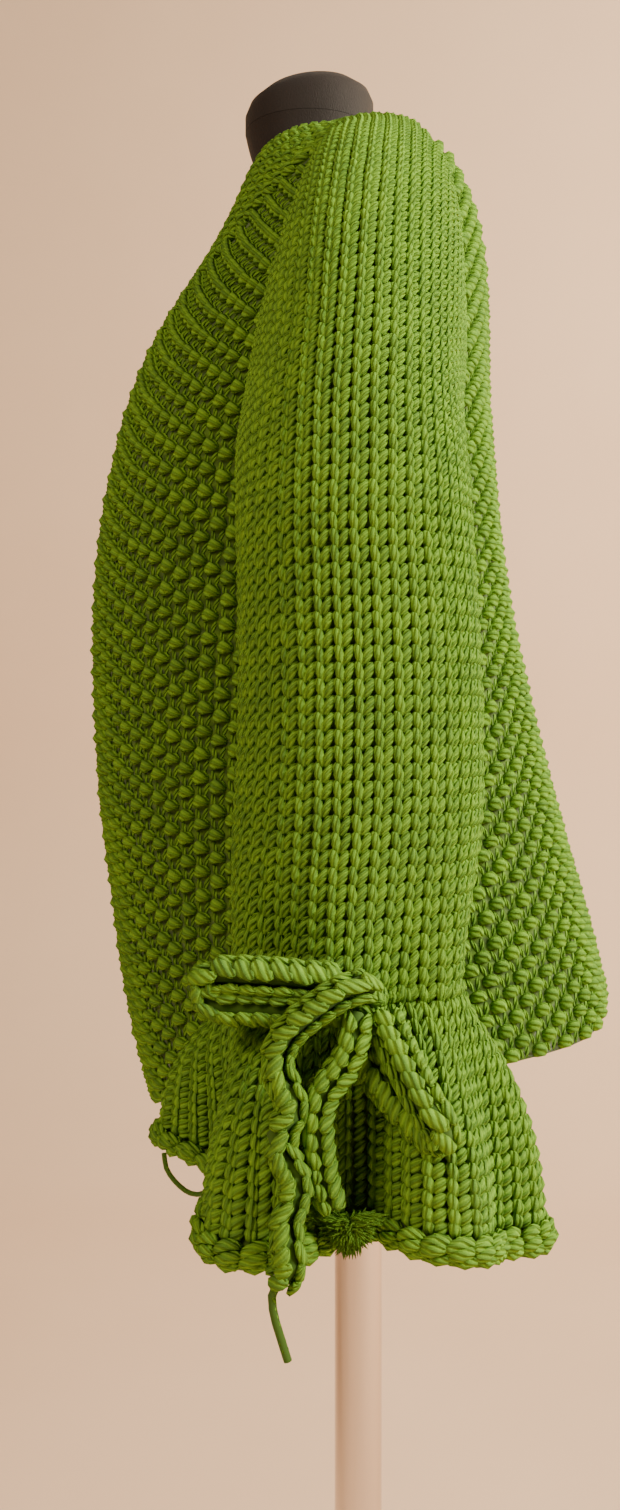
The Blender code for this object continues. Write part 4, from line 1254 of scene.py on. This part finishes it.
def add_dress_form():
    turn = np.arange(FORM_STRIPS) * 2.0 / FORM_STRIPS
    trunk = np.linspace(FORM_FOOT, FORM_SHOULDER, 40)
    rises = np.concatenate([trunk, np.linspace(FORM_NECK_FOOT, FORM_NECK_TOP, 14)])
    rings = [section(FORM, turn, np.full(FORM_STRIPS, rise)) for rise in rises]
    loft("torso_jersey", rings, FORM_LOOK, "form_torso")
    neck = section(FORM, turn, np.full(FORM_STRIPS, FORM_NECK_TOP))
    middle = neck.mean(axis=0)
    caps = [neck + (0, 0, CAP_FOOT - FORM_NECK_TOP)]
    for share, height in CAP_RINGS:
        ring = middle + (neck - middle) * share
        ring[:, 2] = middle[2] + CAP_FOOT - FORM_NECK_TOP + height + CAP_SLOPE * (ring[:, 1] - middle[1])
        caps.append(ring)
    loft("neck_cap_jersey", caps, FORM_LOOK, "form_neck_cap")
    top = ELBOW_HEIGHT + FORM_FOOT - LINE_GAP
    foot = BASE_PROFILE[-1][1] + LINE_GAP
    loft("pole_tube", [circle(POLE_RADIUS, z) for z in (foot, top)], CHROME_LOOK, "form_pole")
    loft("base_plate", [circle(r, z) for r, z in BASE_PROFILE], CHROME_LOOK, "form_base")


def add_cardigan():
    front, back, left_sleeve, left_cuff = front_grids(), back_grids(), sleeve_grids(), cuff_grids()
    band_outer, band_inner = band_side(front, back, left_sleeve)
    whole = np.concatenate([mirrored(band_outer[:0:-1]), band_outer])
    whole_inner = np.concatenate([mirrored(band_inner[:0:-1]), band_inner])
    front_cloth, sleeve_cloth = front_knitting(), sleeve_knitting()
    cuff_cloth, roll_cloth, band_cloth = cuff_knitting(), roll_knitting(), band_knitting(band_outer)

    yarn = Yarn()
    back_cloth = back_knitting()
    knit_moss(yarn, back_cloth, *back_cloth.cells(margin=0.55))
    stitches = add_stitches("back_moss_stitches", yarn)
    cloth = backing("back_backing", *back, "back")

    yarn = Yarn()
    for half in (band_cloth, band_cloth.mirrored()):
        knit_smooth(yarn, half, *half.cells(start=0.5, margin=0.45))
    stitches = add_stitches("band_stitches", yarn)
    cloth = backing("band_backing", whole, whole_inner, "front_and_neck_band")

    for word, flip in (("left", False), ("right", True)):
        turn_over = (lambda x: x.mirrored()) if flip else (lambda x: x)
        grids_of = (lambda pair: [mirrored(grid) for grid in pair]) if flip else (lambda pair: pair)

        yarn = Yarn()
        part = turn_over(front_cloth)
        knit_moss(yarn, part, *part.cells(margin=0.5))
        stitches = add_stitches(f"front_moss_stitches_{word}", yarn)
        cloth = backing(f"front_backing_{word}", *grids_of(front), f"front_{word}")

        yarn = Yarn()
        part = turn_over(sleeve_cloth)
        knit_smooth(yarn, part, *part.cells(margin=0.5))
        for edge in (0, 1):
            line, outward = raglan_line(edge)
            if flip:
                line, outward = mirrored(line), mirrored(outward)
            seam = ribbon(line, outward, SEAM_STITCH_WIDTH, 1)
            knit_smooth(yarn, seam, *seam.cells(start=0.0, margin=0.4), lift=-0.0020)
        stitches = add_stitches(f"sleeve_stitches_{word}", yarn)
        cloth = backing(f"sleeve_backing_{word}", *grids_of(left_sleeve), f"sleeve_{word}", YOKE_ROWS)

        yarn = Yarn()
        part = turn_over(cuff_cloth)
        knit_smooth(yarn, part, *part.cells(margin=0.3))
        part = turn_over(roll_cloth)
        knit_purl(yarn, part, *part.cells(margin=0.3))
        stitches = add_stitches(f"cuff_stitches_{word}", yarn)
        cloth = backing(f"cuff_backing_{word}", *grids_of(left_cuff), f"cuff_{word}", 0)


def raglan_line(edge):
    """The points of a raglan seam, armpit to neck, with the direction out of the cloth there."""
    row = np.linspace(YOKE[-1, 0] - 0.2, 0.0, 80)
    turn, rise = raglan(row, edge)
    of_sleeve = normals(yoke, row, np.full_like(row, (2.0 * edge - 1.0) * SEAM_SWEEP))
    return body(turn, rise), unit(normals(body, turn, rise) + of_sleeve)


def add_stage():
    work = bmesh.new()
    side = -BACKDROP_WIDTH / 2
    profile = [work.verts.new((x, side, 0.0)) for x in (FLOOR_FRONT, FLOOR_BACK)]
    for k in range(1, 17):
        angle = math.radians(90 * k / 16)
        x = FLOOR_BACK - BACKDROP_BEND * math.sin(angle)
        profile.append(work.verts.new((x, side, BACKDROP_BEND - BACKDROP_BEND * math.cos(angle))))
    profile.append(work.verts.new((FLOOR_BACK - BACKDROP_BEND, side, BACKDROP_HEIGHT)))
    edges = [work.edges.new(pair) for pair in zip(profile, profile[1:])]
    sweep = bmesh.ops.extrude_edge_only(work, edges=edges)
    moved = [v for v in sweep["geom"] if isinstance(v, bmesh.types.BMVert)]
    bmesh.ops.translate(work, verts=moved, vec=(0, BACKDROP_WIDTH, 0))
    mesh = bpy.data.meshes.new("backdrop")
    work.to_mesh(mesh)
    work.free()
    mesh.shade_smooth()
    mesh.materials.append(stage_material())
    place("backdrop", mesh)


def add_lamp(name, at, aim, size, power_w, colour):
    lamp = bpy.data.lights.new(name, "AREA")
    lamp.size = size
    lamp.energy = power_w
    lamp.color = colour
    made = place(name, lamp)
    made.location = at
    made.rotation_euler = (Vector(aim) - Vector(at)).to_track_quat("-Z", "Y").to_euler()


def add_camera_and_light():
    camera = bpy.data.cameras.new("camera")
    camera.sensor_width = 36
    camera.sensor_fit = "AUTO"
    camera.lens = LENS
    camera.shift_y = SHIFT
    made = place("camera", camera)
    made.location = (CAMERA_DISTANCE, CAMERA_Y, ELBOW_HEIGHT)
    made.rotation_euler = (math.radians(90), 0, math.radians(90))
    bpy.context.scene.camera = made
    add_lamp("window", (1.5, 2.1, 2.2), (0.15, 0.0, 0.95), 1.0, 112, (1.0, 0.93, 0.78))
    add_lamp("room", (2.0, -1.4, 2.3), (0.1, 0.0, 0.9), 0.9, 42, (1.0, 0.74, 0.54))
    add_lamp("wall_light", (-0.4, 2.4, 2.4), (-1.9, 0.0, 1.1), 1.5, 142, (1.0, 0.83, 0.64))
    world = bpy.data.worlds.new("room")
    world.use_nodes = True
    background = world.node_tree.nodes["Background"]
    background.inputs["Color"].default_value = (1.0, 0.84, 0.73, 1)
    background.inputs["Strength"].default_value = 0.14
    bpy.context.scene.world = world


YARN = yarn_material()
CORE = core_material()
BACKING = backing_shade_material()
FORM_LOOK = form_material()
CHROME_LOOK = chrome_material()

add_camera_and_light()
for side, word in ((1, "left"), (-1, "right")):
    add_drawstrings(side, word)
add_dress_form()
add_cardigan()
add_stage()
